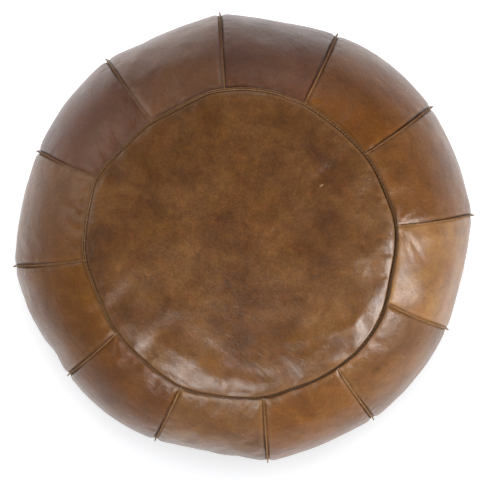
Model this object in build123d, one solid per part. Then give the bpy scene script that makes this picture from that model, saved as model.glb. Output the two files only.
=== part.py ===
from build123d import *
import math
import os

# ---------------------------------------------------------------------------
# Stuffed leather pouf: a round top panel, twelve side gores and a two-piece
# base, all joined by standing seams whose raw edges point outwards, with a
# zip across the base and a cotton bag of stuffing inside.
# Millimetres, +Z up, Z = 0 is the floor, the axis of the top ring is X = Y = 0.
# ---------------------------------------------------------------------------

# leather and seams
LEATHER = 1.3          # thickness of one ply
PLY_GAP = 0.05         # each ply stands this far from the seam's middle plane
SEAM_HEIGHT = 6.0      # a side seam's raw edges stand this high
RING_R = 190.0         # stitch line of the top ring seam and of the base seam
RING_Z = 345.0         # height of the top ring seam's foot
RING_EDGE_Z = 351.0    # raw edge of the top ring seam
CROWN_Z = 361.0        # top of the domed top panel
BASE_FLANGE_R = 196.0  # raw edge of the base seam, lying flat on the floor
BODY_R = 300.0         # nominal radius at the widest line

# the twelve side seams: direction at the widest line, direction at the ring,
# radius at the widest line, and how far the gore after it stands proud of its
# own chord half way up
SEAMS = [
    (5.9, 7.7, 302.1, 10.4),
    (35.0, 37.1, 299.5, 15.4),
    (65.3, 66.4, 290.9, 8.6),
    (95.9, 96.5, 293.0, 7.7),
    (127.3, 125.7, 292.0, 13.2),
    (156.9, 154.7, 291.3, 10.7),
    (186.9, 185.0, 303.6, 12.3),
    (218.0, 214.6, 293.8, 15.2),
    (246.4, 246.5, 292.2, 4.6),
    (276.3, 277.7, 299.1, 10.2),
    (305.8, 307.9, 295.2, 13.6),
    (336.1, 338.2, 294.6, 7.4),
]

# outer line of a side seam, as (radius share of the bulge, height): the first
# and last points are the feet of the base flange and of the ring flange
MERIDIAN = [
    (0.62, 58.0),
    (1.275, 82.0),
    (1.30, 262.0),
    (0.62, 318.0),
]
LOW_FOOT = (191.5, 3.7)
SEAM_RISE = [0.8, 0.8, 6.0, 6.0, 6.0, 6.0, 2.0, 2.0]

# zip
ZIP_HALF = 144.0       # half length of the slot in the base
SLOT_HALF = 7.2        # half width of the slot
ROOF_Z = 5.0           # the leather round the zip is drawn up this far
HEM_Z = 8.6
TAPE_Z = (8.7, 9.3)
TOOTH_Z = (7.8, 10.2)
TOOTH_PITCH = 4.0
SLIDER_X = -130.0      # slider's place at rest
SLIDER_TRAVEL = 260.0
PIN_Z = 3.9

os.makedirs("parts", exist_ok=True)


def save(shape, node):
    export_step(shape, "parts/" + node + ".step")


# ---------------------------------------------------------------------------
# side gores
# ---------------------------------------------------------------------------

def rad(deg):
    return math.radians(deg)


class Seam:
    """The upright plane of one side seam, through the ring and the widest line."""

    def __init__(self, row):
        wide, ring, radius, _ = row
        self.foot = (RING_R * math.cos(rad(ring)), RING_R * math.sin(rad(ring)))
        far = (radius * math.cos(rad(wide)), radius * math.sin(rad(wide)))
        dx, dy = far[0] - self.foot[0], far[1] - self.foot[1]
        self.reach = math.hypot(dx, dy)
        self.u = (dx / self.reach, dy / self.reach)
        self.w = (-self.u[1], self.u[0])

    def at(self, rho, z, e):
        """A point rho out along the seam plane, z up and e to its left."""
        s = rho - RING_R
        return (
            self.foot[0] + self.u[0] * s + self.w[0] * e,
            self.foot[1] + self.u[1] * s + self.w[1] * e,
            z,
        )

    def outline(self):
        """Control points of the gore's outer line in this plane."""
        pts = [(BASE_FLANGE_R, LOW_FOOT[1]), LOW_FOOT]
        pts += [(RING_R + k * self.reach, z) for k, z in MERIDIAN]
        high = RING_R + PLY_GAP + LEATHER
        pts += [(high, RING_Z), (high, RING_EDGE_Z)]
        return pts


def offset_line(pts, dist):
    """Mitred offset of an open line; dist holds one distance for each point,
    positive to the outside of the pouf."""
    out = []
    for i, p in enumerate(pts):
        dirs = []
        if i > 0:
            a = pts[i - 1]
            dirs.append((p[0] - a[0], p[1] - a[1]))
        if i < len(pts) - 1:
            b = pts[i + 1]
            dirs.append((b[0] - p[0], b[1] - p[1]))
        norms = []
        for d in dirs:
            n = math.hypot(*d)
            norms.append((d[1] / n, -d[0] / n))
        if len(norms) == 1:
            m = norms[0]
            k = 1.0
        else:
            m = (norms[0][0] + norms[1][0], norms[0][1] + norms[1][1])
            n = math.hypot(*m)
            m = (m[0] / n, m[1] / n)
            k = 1.0 / (m[0] * norms[0][0] + m[1] * norms[0][1])
        out.append((p[0] + m[0] * k * dist[i], p[1] + m[1] * k * dist[i]))
    return out


def arc_row(a, b):
    """Four control points of a round arc about the axis from a to b."""
    ra, rb = math.hypot(a[0], a[1]), math.hypot(b[0], b[1])
    ta, tb = math.atan2(a[1], a[0]), math.atan2(b[1], b[0])
    if tb < ta:
        tb += 2 * math.pi
    k = 4.0 / 3.0 * math.tan((tb - ta) / 4.0)
    p1 = (a[0] - math.sin(ta) * k * ra, a[1] + math.cos(ta) * k * ra, a[2])
    p2 = (b[0] + math.sin(tb) * k * rb, b[1] - math.cos(tb) * k * rb, b[2])
    return [a, p1, p2, b]


def bulge_row(a, b, out, rise):
    """Four control points across a gore, standing rise proud of the chord."""
    r = rise * 4.0 / 3.0
    p1 = tuple(a[i] + (b[i] - a[i]) / 3.0 + out[i] * r for i in range(3))
    p2 = tuple(a[i] + (b[i] - a[i]) * 2.0 / 3.0 + out[i] * r for i in range(3))
    return [a, p1, p2, b]


def normals(pts):
    """Outward directions of the line at its control points."""
    moved = offset_line(pts, [1.0] * len(pts))
    out = []
    for p, q in zip(pts, moved):
        d = (q[0] - p[0], q[1] - p[1])
        n = math.hypot(*d)
        out.append((d[0] / n, d[1] / n))
    return out


def across(left, right, lo, ro, rows_l, rows_r, el, er, rise):
    """Control net across a gore from the left seam to the right seam."""
    nl, nr = normals(lo), normals(ro)
    net = []
    last = len(rows_l) - 1
    for k in range(len(rows_l)):
        a = left.at(rows_l[k][0], rows_l[k][1], el)
        b = right.at(rows_r[k][0], rows_r[k][1], er)
        if k in (0, 1, last - 1, last):
            net.append(arc_row(a, b))
            continue
        out = (
            (left.u[0] * nl[k][0] + right.u[0] * nr[k][0]) / 2,
            (left.u[1] * nl[k][0] + right.u[1] * nr[k][0]) / 2,
            (nl[k][1] + nr[k][1]) / 2,
        )
        net.append(bulge_row(a, b, out, rise[k]))
    return net


def strip_faces(rows):
    """Faces over a control net: the two flange legs and the body between."""
    return [
        Face.make_bezier_surface(rows[0:2]),
        Face.make_bezier_surface(rows[1:-1]),
        Face.make_bezier_surface(rows[-2:]),
    ]


def gore(i):
    left = Seam(SEAMS[i])
    right = Seam(SEAMS[(i + 1) % len(SEAMS)])
    g, th = PLY_GAP, LEATHER
    lo, ro = left.outline(), right.outline()
    n = len(lo)
    tip_l, tip_r = offset_line(lo, SEAM_RISE), offset_line(ro, SEAM_RISE)
    in_l, in_r = offset_line(lo, [-th] * n), offset_line(ro, [-th] * n)

    # the four middle rows set how far the gore stands proud half way up
    mid = SEAMS[i][3]
    heart = (mid - (2 * 6.5 + 10 * 7.0) / 32.0) * 1.6
    rise = [0, 0, 7.0, heart, heart, 7.0, 0, 0]

    def edge(seam, line, e):
        return [seam.at(p[0], p[1], e) for p in line]

    A = edge(left, tip_l, g)
    B = edge(left, tip_l, g + th)
    E = edge(right, tip_r, -(g + th))
    F = edge(right, tip_r, -g)
    outer = across(left, right, lo, ro, lo, ro, g + th, -(g + th), rise)
    inner = across(left, right, lo, ro, in_l, in_r, g, -g, rise)
    C = [row[0] for row in outer]
    D = [row[3] for row in outer]
    H = [row[0] for row in inner]
    G = [row[3] for row in inner]

    faces = []
    for p, q in ((A, B), (B, C), (D, E), (E, F), (F, G), (H, A)):
        faces += strip_faces([[p[k], q[k]] for k in range(n)])
    faces += strip_faces(outer)
    faces += strip_faces([list(reversed(row)) for row in inner])
    for k in (0, n - 1):
        faces.append(Face.make_bezier_surface([[A[k], H[k]], [B[k], C[k]]]))
        faces.append(Face.make_bezier_surface([outer[k], inner[k]]))
        faces.append(Face.make_bezier_surface([[D[k], G[k]], [E[k], F[k]]]))
    return closed_solid(faces)


def closed_solid(faces):
    body = Solid(Shell(faces))
    if body.volume < 0:
        body = Solid(Shell([-f for f in faces]))
    return body


def seam_thread(i, side):
    """The stitching along one flank of a side seam, as a fine flat cord."""
    seam = Seam(SEAMS[i])
    line = seam.outline()
    low = [0.15, 0.2, 2.7, 2.7, 2.7, 2.7, 0.7, 0.7]
    wide = [0.35, 0.35, 0.7, 0.7, 0.7, 0.7, 0.5, 0.5]
    a = offset_line(line, low)[1:-1]
    b = offset_line(line, [p + q for p, q in zip(low, wide)])[1:-1]
    e0 = side * (PLY_GAP + LEATHER + 0.05)
    e1 = side * (PLY_GAP + LEATHER + 0.45)
    P = [seam.at(p[0], p[1], e0) for p in a]
    Q = [seam.at(p[0], p[1], e0) for p in b]
    R = [seam.at(p[0], p[1], e1) for p in b]
    S = [seam.at(p[0], p[1], e1) for p in a]
    faces = []
    for p, q in ((P, Q), (Q, R), (R, S), (S, P)):
        faces.append(Face.make_bezier_surface([[p[k], q[k]] for k in range(len(p))]))
    for k in (0, len(P) - 1):
        faces.append(Face.make_bezier_surface([[P[k], Q[k]], [S[k], R[k]]]))
    return closed_solid(faces)


for i in range(len(SEAMS)):
    save(gore(i), "side_panel_%02d" % (i + 1))

save(
    Compound(children=[seam_thread(i, s) for i in range(len(SEAMS)) for s in (1, -1)]),
    "side_seam_thread",
)


# ---------------------------------------------------------------------------
# turned shapes
# ---------------------------------------------------------------------------

def turned(edges):
    """Solid of revolution about Z of a closed outline of (radius, height)."""
    return revolve(Plane.XZ * make_face(edges), Axis.Z)


def ring(r0, r1, z0, z1):
    """Flat ring between two radii and two heights."""
    return turned(Polyline((r0, z0), (r1, z0), (r1, z1), (r0, z1), close=True).edges())


def dome(r, z_edge, z_top):
    """Arc from the axis down to the edge, level at the axis."""
    h = z_top - z_edge
    big = (r * r + h * h) / (2 * h)
    half = r / 2
    z_half = z_top - big + math.sqrt(big * big - half * half)
    return ThreePointArc((0, z_top), (half, z_half), (r, z_edge))


# top panel: a shallow dome with its edge turned up inside the ring seam
ply_out = RING_R - PLY_GAP
ply_in = ply_out - LEATHER
under = dome(ply_out, RING_Z - LEATHER, CROWN_Z - LEATHER)
upper = dome(ply_in, RING_Z, CROWN_Z)
wall = Polyline(
    (ply_in, RING_Z), (ply_in, RING_EDGE_Z), (ply_out, RING_EDGE_Z), (ply_out, RING_Z - LEATHER)
)
axis_line = Line((0, CROWN_Z - LEATHER), (0, CROWN_Z))
save(turned(upper.edges() + wall.edges() + under.edges() + axis_line.edges()), "top_panel")

# ring seam stitching, on the inner flank of the upturned edge
save(ring(ply_in - 0.45, ply_in - 0.05, 347.7, 348.4), "top_seam_thread")


# ---------------------------------------------------------------------------
# base: two half discs, drawn up round the zip
# ---------------------------------------------------------------------------

def tray(z0, z1, x0, y0, x1, y1):
    """Four-sided frustum on z0, narrowing to z1."""
    low = Plane.XY.offset(z0) * Rectangle(2 * x0, 2 * y0)
    high = Plane.XY.offset(z1) * Rectangle(2 * x1, 2 * y1)
    return loft([low, high], ruled=True)


def slab(x0, x1, y0, y1, z0, z1):
    return Pos((x0 + x1) / 2, (y0 + y1) / 2, (z0 + z1) / 2) * Box(x1 - x0, y1 - y0, z1 - z0)


disc = Pos(0, 0, LEATHER / 2) * Cylinder(BASE_FLANGE_R, LEATHER)
raised = tray(0, ROOF_Z + LEATHER, 182, 34, 170, 22)
hollow = tray(-1.0, ROOF_Z, 181.2, 33.2, 168, 20)
hem = slab(-ZIP_HALF - 11, ZIP_HALF + 11, -19, 19, ROOF_Z + 0.5, HEM_Z)
slot = slab(-ZIP_HALF, ZIP_HALF, -SLOT_HALF, SLOT_HALF, -1, 20)
base = disc + raised + hem - hollow - slot
half_cut = slab(-220, 220, 0.05, 220, -5, 30)
other_cut = slab(-220, 220, -220, -0.05, -5, 30)
save(base & other_cut, "base_panel_front")
save(base & half_cut, "base_panel_back")

# base seam stitching, on the flange's upper face, broken where side seams end
arcs = ring(193.4, 194.0, 3.75, 4.15)
for row in SEAMS:
    s = Seam(row)
    c = s.at(193.7, 4, 0)
    turn = math.degrees(math.atan2(s.u[1], s.u[0]))
    arcs = arcs - Pos(c[0], c[1], 4) * Rot(0, 0, turn) * Box(12, 6, 3)
save(Compound(children=arcs.solids()), "base_seam_thread")


# ---------------------------------------------------------------------------
# zip
# ---------------------------------------------------------------------------

def both(shape):
    return shape, mirror(shape, Plane.XZ)


tape_back, tape_front = both(slab(-143, 143, 2.2, 17, *TAPE_Z))
save(tape_front, "zip_tape_front")
save(tape_back, "zip_tape_back")

# one tooth is clamped over the tape's bead
tooth = slab(-1.0, 1.0, 1.75, 4.7, *TOOTH_Z) - slab(-2, 2, 2.15, 6, TAPE_Z[0] - 0.05, TAPE_Z[1] + 0.05)
count = 68
back_teeth, front_teeth = [], []
for k in range(count):
    x = -134.0 + k * TOOTH_PITCH
    back_teeth.append(Pos(x, 0, 0) * tooth)
    front_teeth.append(Pos(x + TOOTH_PITCH / 2, 0, 0) * mirror(tooth, Plane.XZ))
save(Compound(children=back_teeth), "zip_teeth_back")
save(Compound(children=front_teeth), "zip_teeth_front")

# stops: two short clamps at the start, one bridge at the far end
clamp = slab(-141.5, -139, 1.75, 4.7, *TOOTH_Z) - slab(-145, -135, 2.15, 6, TAPE_Z[0] - 0.05, TAPE_Z[1] + 0.05)
save(Compound(children=list(both(clamp))), "zip_top_stops")
bridge = slab(139, 141.5, -4.7, 4.7, *TOOTH_Z)
for s in (1, -1):
    y0, y1 = sorted((s * 2.15, s * 6))
    bridge = bridge - slab(130, 145, y0, y1, TAPE_Z[0] - 0.05, TAPE_Z[1] + 0.05)
save(bridge, "zip_end_stop")

# slider: two plates joined by a narrow neck, lips round the teeth, and two
# lugs below that carry the pull's pin
plate = Polyline((-7, -5.9), (7, -6.4), (7, 6.4), (-7, 5.9), close=True)
plate = make_face(plate.edges())
slider = extrude(Plane.XY.offset(6.2) * plate, 1.2) + extrude(Plane.XY.offset(10.6) * plate, 1.2)
slider += slab(0.5, 6.5, -1.2, 1.2, 7.0, 11.0)
lips = [slab(-7, 7, 5.2, 5.9, 7.0, 8.3), slab(-7, 7, 5.2, 5.9, 9.7, 11.0)]
for lip in lips:
    slider = slider + lip + mirror(lip, Plane.XZ)
lug = slab(-1.8, 1.8, 2.1, 3.3, PIN_Z, 6.5) + Pos(0, 2.7, PIN_Z) * Rot(90, 0, 0) * Cylinder(1.7, 1.2)
slider = slider + lug + mirror(lug, Plane.XZ)
slider += Pos(0, 0, PIN_Z) * Rot(90, 0, 0) * Cylinder(0.8, 5.0)
save(Pos(SLIDER_X, 0, 0) * slider, "zip_slider")

# pull: an eye on the pin and a flat tab with a hole in its end
eye = Pos(0, 0, PIN_Z) * Rot(90, 0, 0) * Cylinder(1.7, 3.4)
stem = slab(0, 8, -1.6, 1.6, PIN_Z - 0.6, PIN_Z + 0.6)
outline = Polyline((5.5, -1.6), (9, -3.6), (23, -3.1), (25.5, -1.6), (25.5, 1.6), (23, 3.1), (9, 3.6), (5.5, 1.6), close=True)
tab = extrude(Plane.XY.offset(PIN_Z - 0.6) * make_face(outline.edges()), 1.2)
tab -= Pos(19.5, 0, PIN_Z) * Cylinder(1.9, 4)
pull = eye + stem + tab - Pos(0, 0, PIN_Z) * Rot(90, 0, 0) * Cylinder(0.9, 8)
save(Pos(SLIDER_X, 0, 0) * pull, "zip_pull")

# two rows of stitches each side of the slot, under the hem
rows = []
for y in (9.5, 15.5):
    for s in (1, -1):
        y0, y1 = sorted((s * y, s * (y + 0.6)))
        rows.append(slab(-141, 141, y0, y1, ROOF_Z - 0.45, ROOF_Z - 0.05))
save(Compound(children=rows), "zip_stitching")


# ---------------------------------------------------------------------------
# inner bag and stuffing
# ---------------------------------------------------------------------------

CLOTH = 0.8
BAG_LIFT = 12.6  # the bag's underside over the zip

def bag_side(gap):
    """Half outline of the bag's side, from low to high, gap inside the cloth."""
    pts = [(184, 5.0), (225, 45), (262, 105), (275.5, 170), (262, 245), (222, 306), (185, 336)]
    return [(r - gap, z + gap * (0.5 if z < 100 else (-0.5 if z > 250 else 0))) for r, z in pts]


outer_side = Spline(*bag_side(0.0))
inner_side = Spline(*bag_side(CLOTH))
o0, o1 = outer_side @ 0, outer_side @ 1
i0, i1 = inner_side @ 0, inner_side @ 1
side = turned(
    outer_side.edges() + inner_side.edges() + Line((o0.X, o0.Y), (i0.X, i0.Y)).edges() + Line((o1.X, o1.Y), (i1.X, i1.Y)).edges()
)
save(side, "liner_side")

lid_r = 184.0
lid_low = dome(lid_r, 337.2, 355.0)
lid_high = dome(lid_r, 338.0, 355.8)
lid = turned(
    lid_low.edges()
    + lid_high.edges()
    + Line((0, 355.0), (0, 355.8)).edges()
    + Line((lid_r, 337.2), (lid_r, 338.0)).edges()
)
save(lid, "liner_top")

floor_cloth = Pos(0, 0, 2.4 + CLOTH / 2) * Cylinder(183.0, CLOTH)
bump = tray(2.4, BAG_LIFT + CLOTH, 181.0, 40.0, 171.0, 25.0) & (Pos(0, 0, 10) * Cylinder(183.0, 30))
dent = tray(1.4, BAG_LIFT, 180.6, 40.0, 170.2, 24.2)
save(floor_cloth + bump - dent, "liner_base")

fill_side = Spline(*bag_side(CLOTH + 0.6))
f0, f1 = fill_side @ 0, fill_side @ 1
crown = dome(f1.X, f1.Y - 0.3, 354.4)
stuffing = turned(
    fill_side.edges()
    + crown.edges()
    + Line((f1.X, f1.Y), (f1.X, f1.Y - 0.3)).edges()
    + Line((0, 354.4), (0, 6.0)).edges()
    + Line((0, 6.0), (f0.X, 6.0)).edges()
    + Line((f0.X, 6.0), (f0.X, f0.Y)).edges()
)
stuffing = stuffing - tray(-4.0, BAG_LIFT + CLOTH + 0.6, 190.0, 51.0, 172.5, 26.5)
save(stuffing, "filling")
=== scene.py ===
import bpy
import math
import numpy as np
from mathutils import Matrix, Vector


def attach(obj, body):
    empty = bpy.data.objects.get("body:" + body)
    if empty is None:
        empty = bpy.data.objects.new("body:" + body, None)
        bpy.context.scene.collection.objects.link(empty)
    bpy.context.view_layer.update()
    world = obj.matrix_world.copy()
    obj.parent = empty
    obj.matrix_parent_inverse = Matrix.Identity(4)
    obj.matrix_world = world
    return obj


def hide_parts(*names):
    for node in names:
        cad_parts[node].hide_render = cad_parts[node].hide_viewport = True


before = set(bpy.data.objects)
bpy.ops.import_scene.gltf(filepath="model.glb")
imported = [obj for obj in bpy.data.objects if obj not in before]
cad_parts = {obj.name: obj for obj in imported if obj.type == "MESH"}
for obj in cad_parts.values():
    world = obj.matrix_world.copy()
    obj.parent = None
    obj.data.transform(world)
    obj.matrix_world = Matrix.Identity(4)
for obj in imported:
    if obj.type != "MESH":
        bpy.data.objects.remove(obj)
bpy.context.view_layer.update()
SCENE = bpy.context.scene

# ---------------------------------------------------------------------------
# camera, straight down but for a few degrees
# ---------------------------------------------------------------------------

cam_data = bpy.data.cameras.new("camera")
cam_data.lens = 109.16
cam_data.sensor_width = 36.0
cam_data.clip_start = 0.05
cam_data.clip_end = 50.0
camera = bpy.data.objects.new("camera", cam_data)
SCENE.collection.objects.link(camera)
CAM_AT = Vector((0.0111, 0.1464, 2.200))
CAM_TO = Vector((-0.0004, -0.0176, 0.185))
back = (CAM_AT - CAM_TO).normalized()
right = Vector((0, 1, 0)).cross(back).normalized()
up = back.cross(right)
camera.matrix_world = Matrix((
    (right.x, up.x, back.x, CAM_AT.x), (right.y, up.y, back.y, CAM_AT.y), (right.z, up.z, back.z, CAM_AT.z), (0, 0, 0, 1)))
SCENE.camera = camera

# ---------------------------------------------------------------------------
# the pouf's lines, in millimetres, as the CAD parts have them
# ---------------------------------------------------------------------------

TH, GAP = 1.25, 0.06
RING_R, RING_Z = 190.0, 345.0
LOW_Z, BASE_R, CROWN_Z = 3.7, 196.0, 361.0
SEAMS = [
    (5.9, 7.7, 302.1, 10.4),
    (35.0, 37.1, 299.5, 15.4),
    (65.3, 66.4, 290.9, 8.6),
    (95.9, 96.5, 293.0, 7.7),
    (127.3, 125.7, 292.0, 13.2),
    (156.9, 154.7, 291.3, 10.7),
    (186.9, 185.0, 303.6, 12.3),
    (218.0, 214.6, 293.8, 15.2),
    (246.4, 246.5, 292.2, 4.6),
    (276.3, 277.7, 299.1, 10.2),
    (305.8, 307.9, 295.2, 13.6),
    (336.1, 338.2, 294.6, 7.4),
]
MERIDIAN = [(0.62, 58.0), (1.275, 82.0), (1.30, 262.0), (0.62, 318.0)]
NS = len(SEAMS)
# how far the top ring strays from round, every 6 degrees, in mm
RING_STRAY = np.array([
    -1.4, 0.0, -0.5, -2.4, -2.9, -2.4, -2.5, -3.5, -3.6, -3.7, -2.3, -0.3, 0.2, 1.7, 2.2, 2.6, 2.5, 2.2, -0.6, -3.1,
    -3.1, -1.2, -0.9, -0.6, 1.8, 6.0, 8.2, 6.4, 5.3, 5.0, 5.3, 4.4, 0.9, -0.9, -1.5, -0.9, -1.0, -1.5, -2.5, -1.4,
    -0.3, 1.2, 0.5, -0.9, -1.3, -1.0, -0.3, -1.1, -2.8, -2.0, -0.8, 0.3, 1.1, 2.4, 2.4, 2.0, 0.6, -1.7, -3.6, -2.8])


def rnd(*key):
    """The same number in 0..1 every run for the same key."""
    h = 2166136261
    for k in key:
        for c in str(k):
            h = ((h ^ ord(c)) * 16777619) & 0xFFFFFFFF
    h ^= h >> 15
    h = (h * 2246822519) & 0xFFFFFFFF
    h ^= h >> 13
    return (h & 0xFFFFFF) / float(0xFFFFFF)


_tab = np.array([int(rnd("perm", i) * 1e9) for i in range(256)]).argsort()
_perm = np.concatenate([_tab, _tab])
_ga = np.array([rnd("ga", i) for i in range(256)]) * 2 * math.pi
_gz = np.array([rnd("gz", i) for i in range(256)]) * 2 - 1
_grad = np.stack([np.sqrt(1 - _gz ** 2) * np.cos(_ga), np.sqrt(1 - _gz ** 2) * np.sin(_ga), _gz], -1)


def noise3(p, size, seed=0.0):
    """Smooth noise of about -1..1 at points p (mm), with features about size mm."""
    q = np.asarray(p, float) / size + np.array([seed * 17.31, seed * 5.77 + 3.1, seed * 11.9])
    i = np.floor(q).astype(int)
    f = q - i
    u = f * f * f * (f * (f * 6 - 15) + 10)
    out = 0
    for dx in (0, 1):
        for dy in (0, 1):
            for dz in (0, 1):
                h = _perm[(_perm[(_perm[(i[..., 0] + dx) & 255] + i[..., 1] + dy) & 255] + i[..., 2] + dz) & 255]
                g = _grad[h]
                d = g[..., 0] * (f[..., 0] - dx) + g[..., 1] * (f[..., 1] - dy) + g[..., 2] * (f[..., 2] - dz)
                w = (u[..., 0] if dx else 1 - u[..., 0]) * (u[..., 1] if dy else 1 - u[..., 1]) * (u[..., 2] if dz else 1 - u[..., 2])
                out = out + w * d
    return out * 1.6


def noise1(x, size, seed):
    x = np.asarray(x, float)
    return noise3(np.stack([x, np.full_like(x, seed * 37.7), np.full_like(x, seed * 11.3)], -1), size)


def bern(n, t):
    t = np.asarray(t, float)
    return np.stack([math.comb(n, k) * t ** k * (1 - t) ** (n - k) for k in range(n + 1)], -1)


def smooth(x):
    x = np.clip(x, 0, 1)
    return x * x * (3 - 2 * x)


def unit(v):
    return v / np.maximum(np.linalg.norm(v, axis=-1, keepdims=True), 1e-9)


def angle_table(values, phi):
    """Smooth reading of a table round the circle; phi in radians."""
    n = len(values)
    x = (np.degrees(phi) % 360.0) / (360.0 / n)
    k = np.floor(x).astype(int)
    f = x - k
    p0, p1, p2, p3 = (values[(k + d) % n] for d in (-1, 0, 1, 2))
    return p1 + 0.5 * f * (p2 - p0 + f * (2 * p0 - 5 * p1 + 4 * p2 - p3 + f * (3 * (p1 - p2) + p3 - p0)))


def toward(phi, deg, wide=1.0):
    """1 in the direction deg, falling smoothly to 0 on the far side."""
    return (0.5 + 0.5 * np.cos(phi - math.radians(deg))) ** wide


def skive(q):
    """How much a ply is thinned at the share q of a raw edge's height."""
    return 0.46 * min(q / 0.16, 1.0) + 0.26 * q


class Seam:
    def __init__(self, row):
        wide, ring, radius, _ = row
        a, b = math.radians(ring), math.radians(wide)
        self.foot = np.array([RING_R * math.cos(a), RING_R * math.sin(a)])
        far = np.array([radius * math.cos(b), radius * math.sin(b)])
        d = far - self.foot
        self.tip = far
        self.reach = float(np.hypot(*d))
        self.u = d / self.reach
        self.w = np.array([-self.u[1], self.u[0]])
        self.u3 = np.array([self.u[0], self.u[1], 0.0])
        self.w3 = np.array([self.w[0], self.w[1], 0.0])

    def at(self, rho, z, e):
        rho, z = np.asarray(rho, float), np.asarray(z, float)
        xy = self.foot + self.u * (rho - RING_R)[..., None] + self.w * e
        return np.concatenate([xy, z[..., None]], -1)

    def rows(self):
        """Control points (rho, z) of the body from the base foot to the ring foot."""
        pts = [(191.5, LOW_Z)] + [(RING_R + k * self.reach, z) for k, z in MERIDIAN]
        return np.array(pts + [(RING_R + GAP + TH, RING_Z)])


S = [Seam(r) for r in SEAMS]


def arc_row(a, b):
    ra, rb = math.hypot(a[0], a[1]), math.hypot(b[0], b[1])
    ta, tb = math.atan2(a[1], a[0]), math.atan2(b[1], b[0])
    if tb < ta:
        tb += 2 * math.pi
    k = 4.0 / 3.0 * math.tan((tb - ta) / 4.0)
    p1 = np.array([a[0] - math.sin(ta) * k * ra, a[1] + math.cos(ta) * k * ra, a[2]])
    p2 = np.array([b[0] + math.sin(tb) * k * rb, b[1] - math.cos(tb) * k * rb, b[2]])
    return [a, p1, p2, b]


def net(i):
    """Bezier net (6, 4, 3) of a gore's outer face, as in the CAD part."""
    left, rgt = S[i], S[(i + 1) % NS]
    lo, ro = left.rows(), rgt.rows()
    e = GAP + TH
    heart = (SEAMS[i][3] - (2 * 6.5 + 70.0) / 32.0) * 1.6
    rise = [0, 7.0, heart, heart, 7.0, 0]
    out = []
    for k in range(6):
        a, b = left.at(lo[k, 0], lo[k, 1], e), rgt.at(ro[k, 0], ro[k, 1], -e)
        if k in (0, 5):
            out.append(arc_row(a, b))
            continue

        def normal(p):
            d = p[k + 1] - p[k - 1]
            n = np.array([d[1], -d[0]])
            return n / np.hypot(*n)
        nl, nr = normal(lo), normal(ro)
        o = np.array([(left.u[0] * nl[0] + rgt.u[0] * nr[0]) / 2, (left.u[1] * nl[0] + rgt.u[1] * nr[0]) / 2, (nl[1] + nr[1]) / 2])
        r = rise[k] * 4 / 3
        out.append([a, a + (b - a) / 3 + o * r, a + (b - a) * 2 / 3 + o * r, b])
    return np.array(out)


NETS = [net(i) for i in range(NS)]

# length along the middle line, for even rows
_t = np.linspace(0, 1, 801)
_mid = np.array([(191.5, LOW_Z)] + [(RING_R + k * 108.0, z) for k, z in MERIDIAN] + [(191.85, RING_Z)])
_line = bern(5, _t) @ _mid
_len = np.concatenate([[0], np.cumsum(np.hypot(*np.diff(_line, axis=0).T))])
LENGTH = _len[-1]


def t_at(s):
    return np.interp(s, _len, _t)


def body(i, T, A):
    """Outer face of gore i without its flanges: (len(T), len(A), 3)."""
    P = np.einsum("tk,kjc,aj->tac", bern(5, T), NETS[i], bern(3, A))
    s = np.interp(T, _t, _len)
    near = smooth(1 - (LENGTH - s) / 75.0)[:, None]
    phi = np.arctan2(P[..., 1], P[..., 0])
    stray = angle_table(RING_STRAY, phi) * near
    P = P.copy()
    P[..., 0] += np.cos(phi) * stray
    P[..., 1] += np.sin(phi) * stray
    width = np.linalg.norm(P[:, -1] - P[:, 0], axis=1)[:, None]
    for j, d in ((i, A[None, :] * width), ((i + 1) % NS, (1 - A)[None, :] * width)):
        P = P + S[j].w3 * (sway(j, s)[:, None] * np.exp(-(d / 40.0) ** 2))[..., None]
    return P


def sway(j, s):
    """Sideways wander of seam j where it turns over the side."""
    k = np.dot(S[j].tip - np.array(CAM_AT[:2]) * 1000.0, S[j].w) / (CAM_AT[2] * 1000.0 - 225.0)
    z = np.interp(s, _len, _line[:, 1])
    return k * (225.0 - z) * np.exp(-((225.0 - z) / 60.0) ** 2)


def grid_normals(P):
    """Unit normals of a grid (rows up the gore, columns anticlockwise), pointing out."""
    du = np.gradient(P, axis=1)
    dv = np.gradient(P, axis=0)
    return unit(np.cross(du, dv))


# ---------------------------------------------------------------------------
# the leather under tension: one cloth simulation for the gores and the top,
# held along every seam and pressed out from inside by the stuffing
# ---------------------------------------------------------------------------

SIM_A, SIM_T, SIM_D = 23, 61, 61
SIM_TIMES = t_at(np.linspace(0, LENGTH, SIM_T))
SIM_ACROSS = np.linspace(0, 1, SIM_A)


def dome_z(r):
    h = CROWN_Z - RING_Z
    big = (188.15 ** 2 + h * h) / (2 * h)
    return CROWN_Z - big + np.sqrt(np.maximum(big * big - r * r, 0))


def disc_point(u, v):
    """Square (-1..1) to the top disc."""
    x = u * np.sqrt(1 - v * v / 2)
    y = v * np.sqrt(1 - u * u / 2)
    r = np.hypot(x, y)
    phi = np.arctan2(y, x)
    rad = r * (188.15 + angle_table(RING_STRAY, phi) * smooth(r) ** 2)
    return np.stack([rad * np.cos(phi), rad * np.sin(phi), dome_z(r * 188.15)], -1)


def grid_faces(rows, cols, start=0):
    r, c = np.meshgrid(np.arange(rows - 1), np.arange(cols - 1), indexing="ij")
    a = start + r * cols + c
    return np.stack([a, a + 1, a + cols + 1, a + cols], -1).reshape(-1, 4)


def make_mesh(name, verts, faces, uvs=None):
    me = bpy.data.meshes.new(name)
    me.from_pydata((np.asarray(verts) * 0.001).tolist(), [], [list(map(int, f)) for f in faces])
    me.update()
    return me


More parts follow.
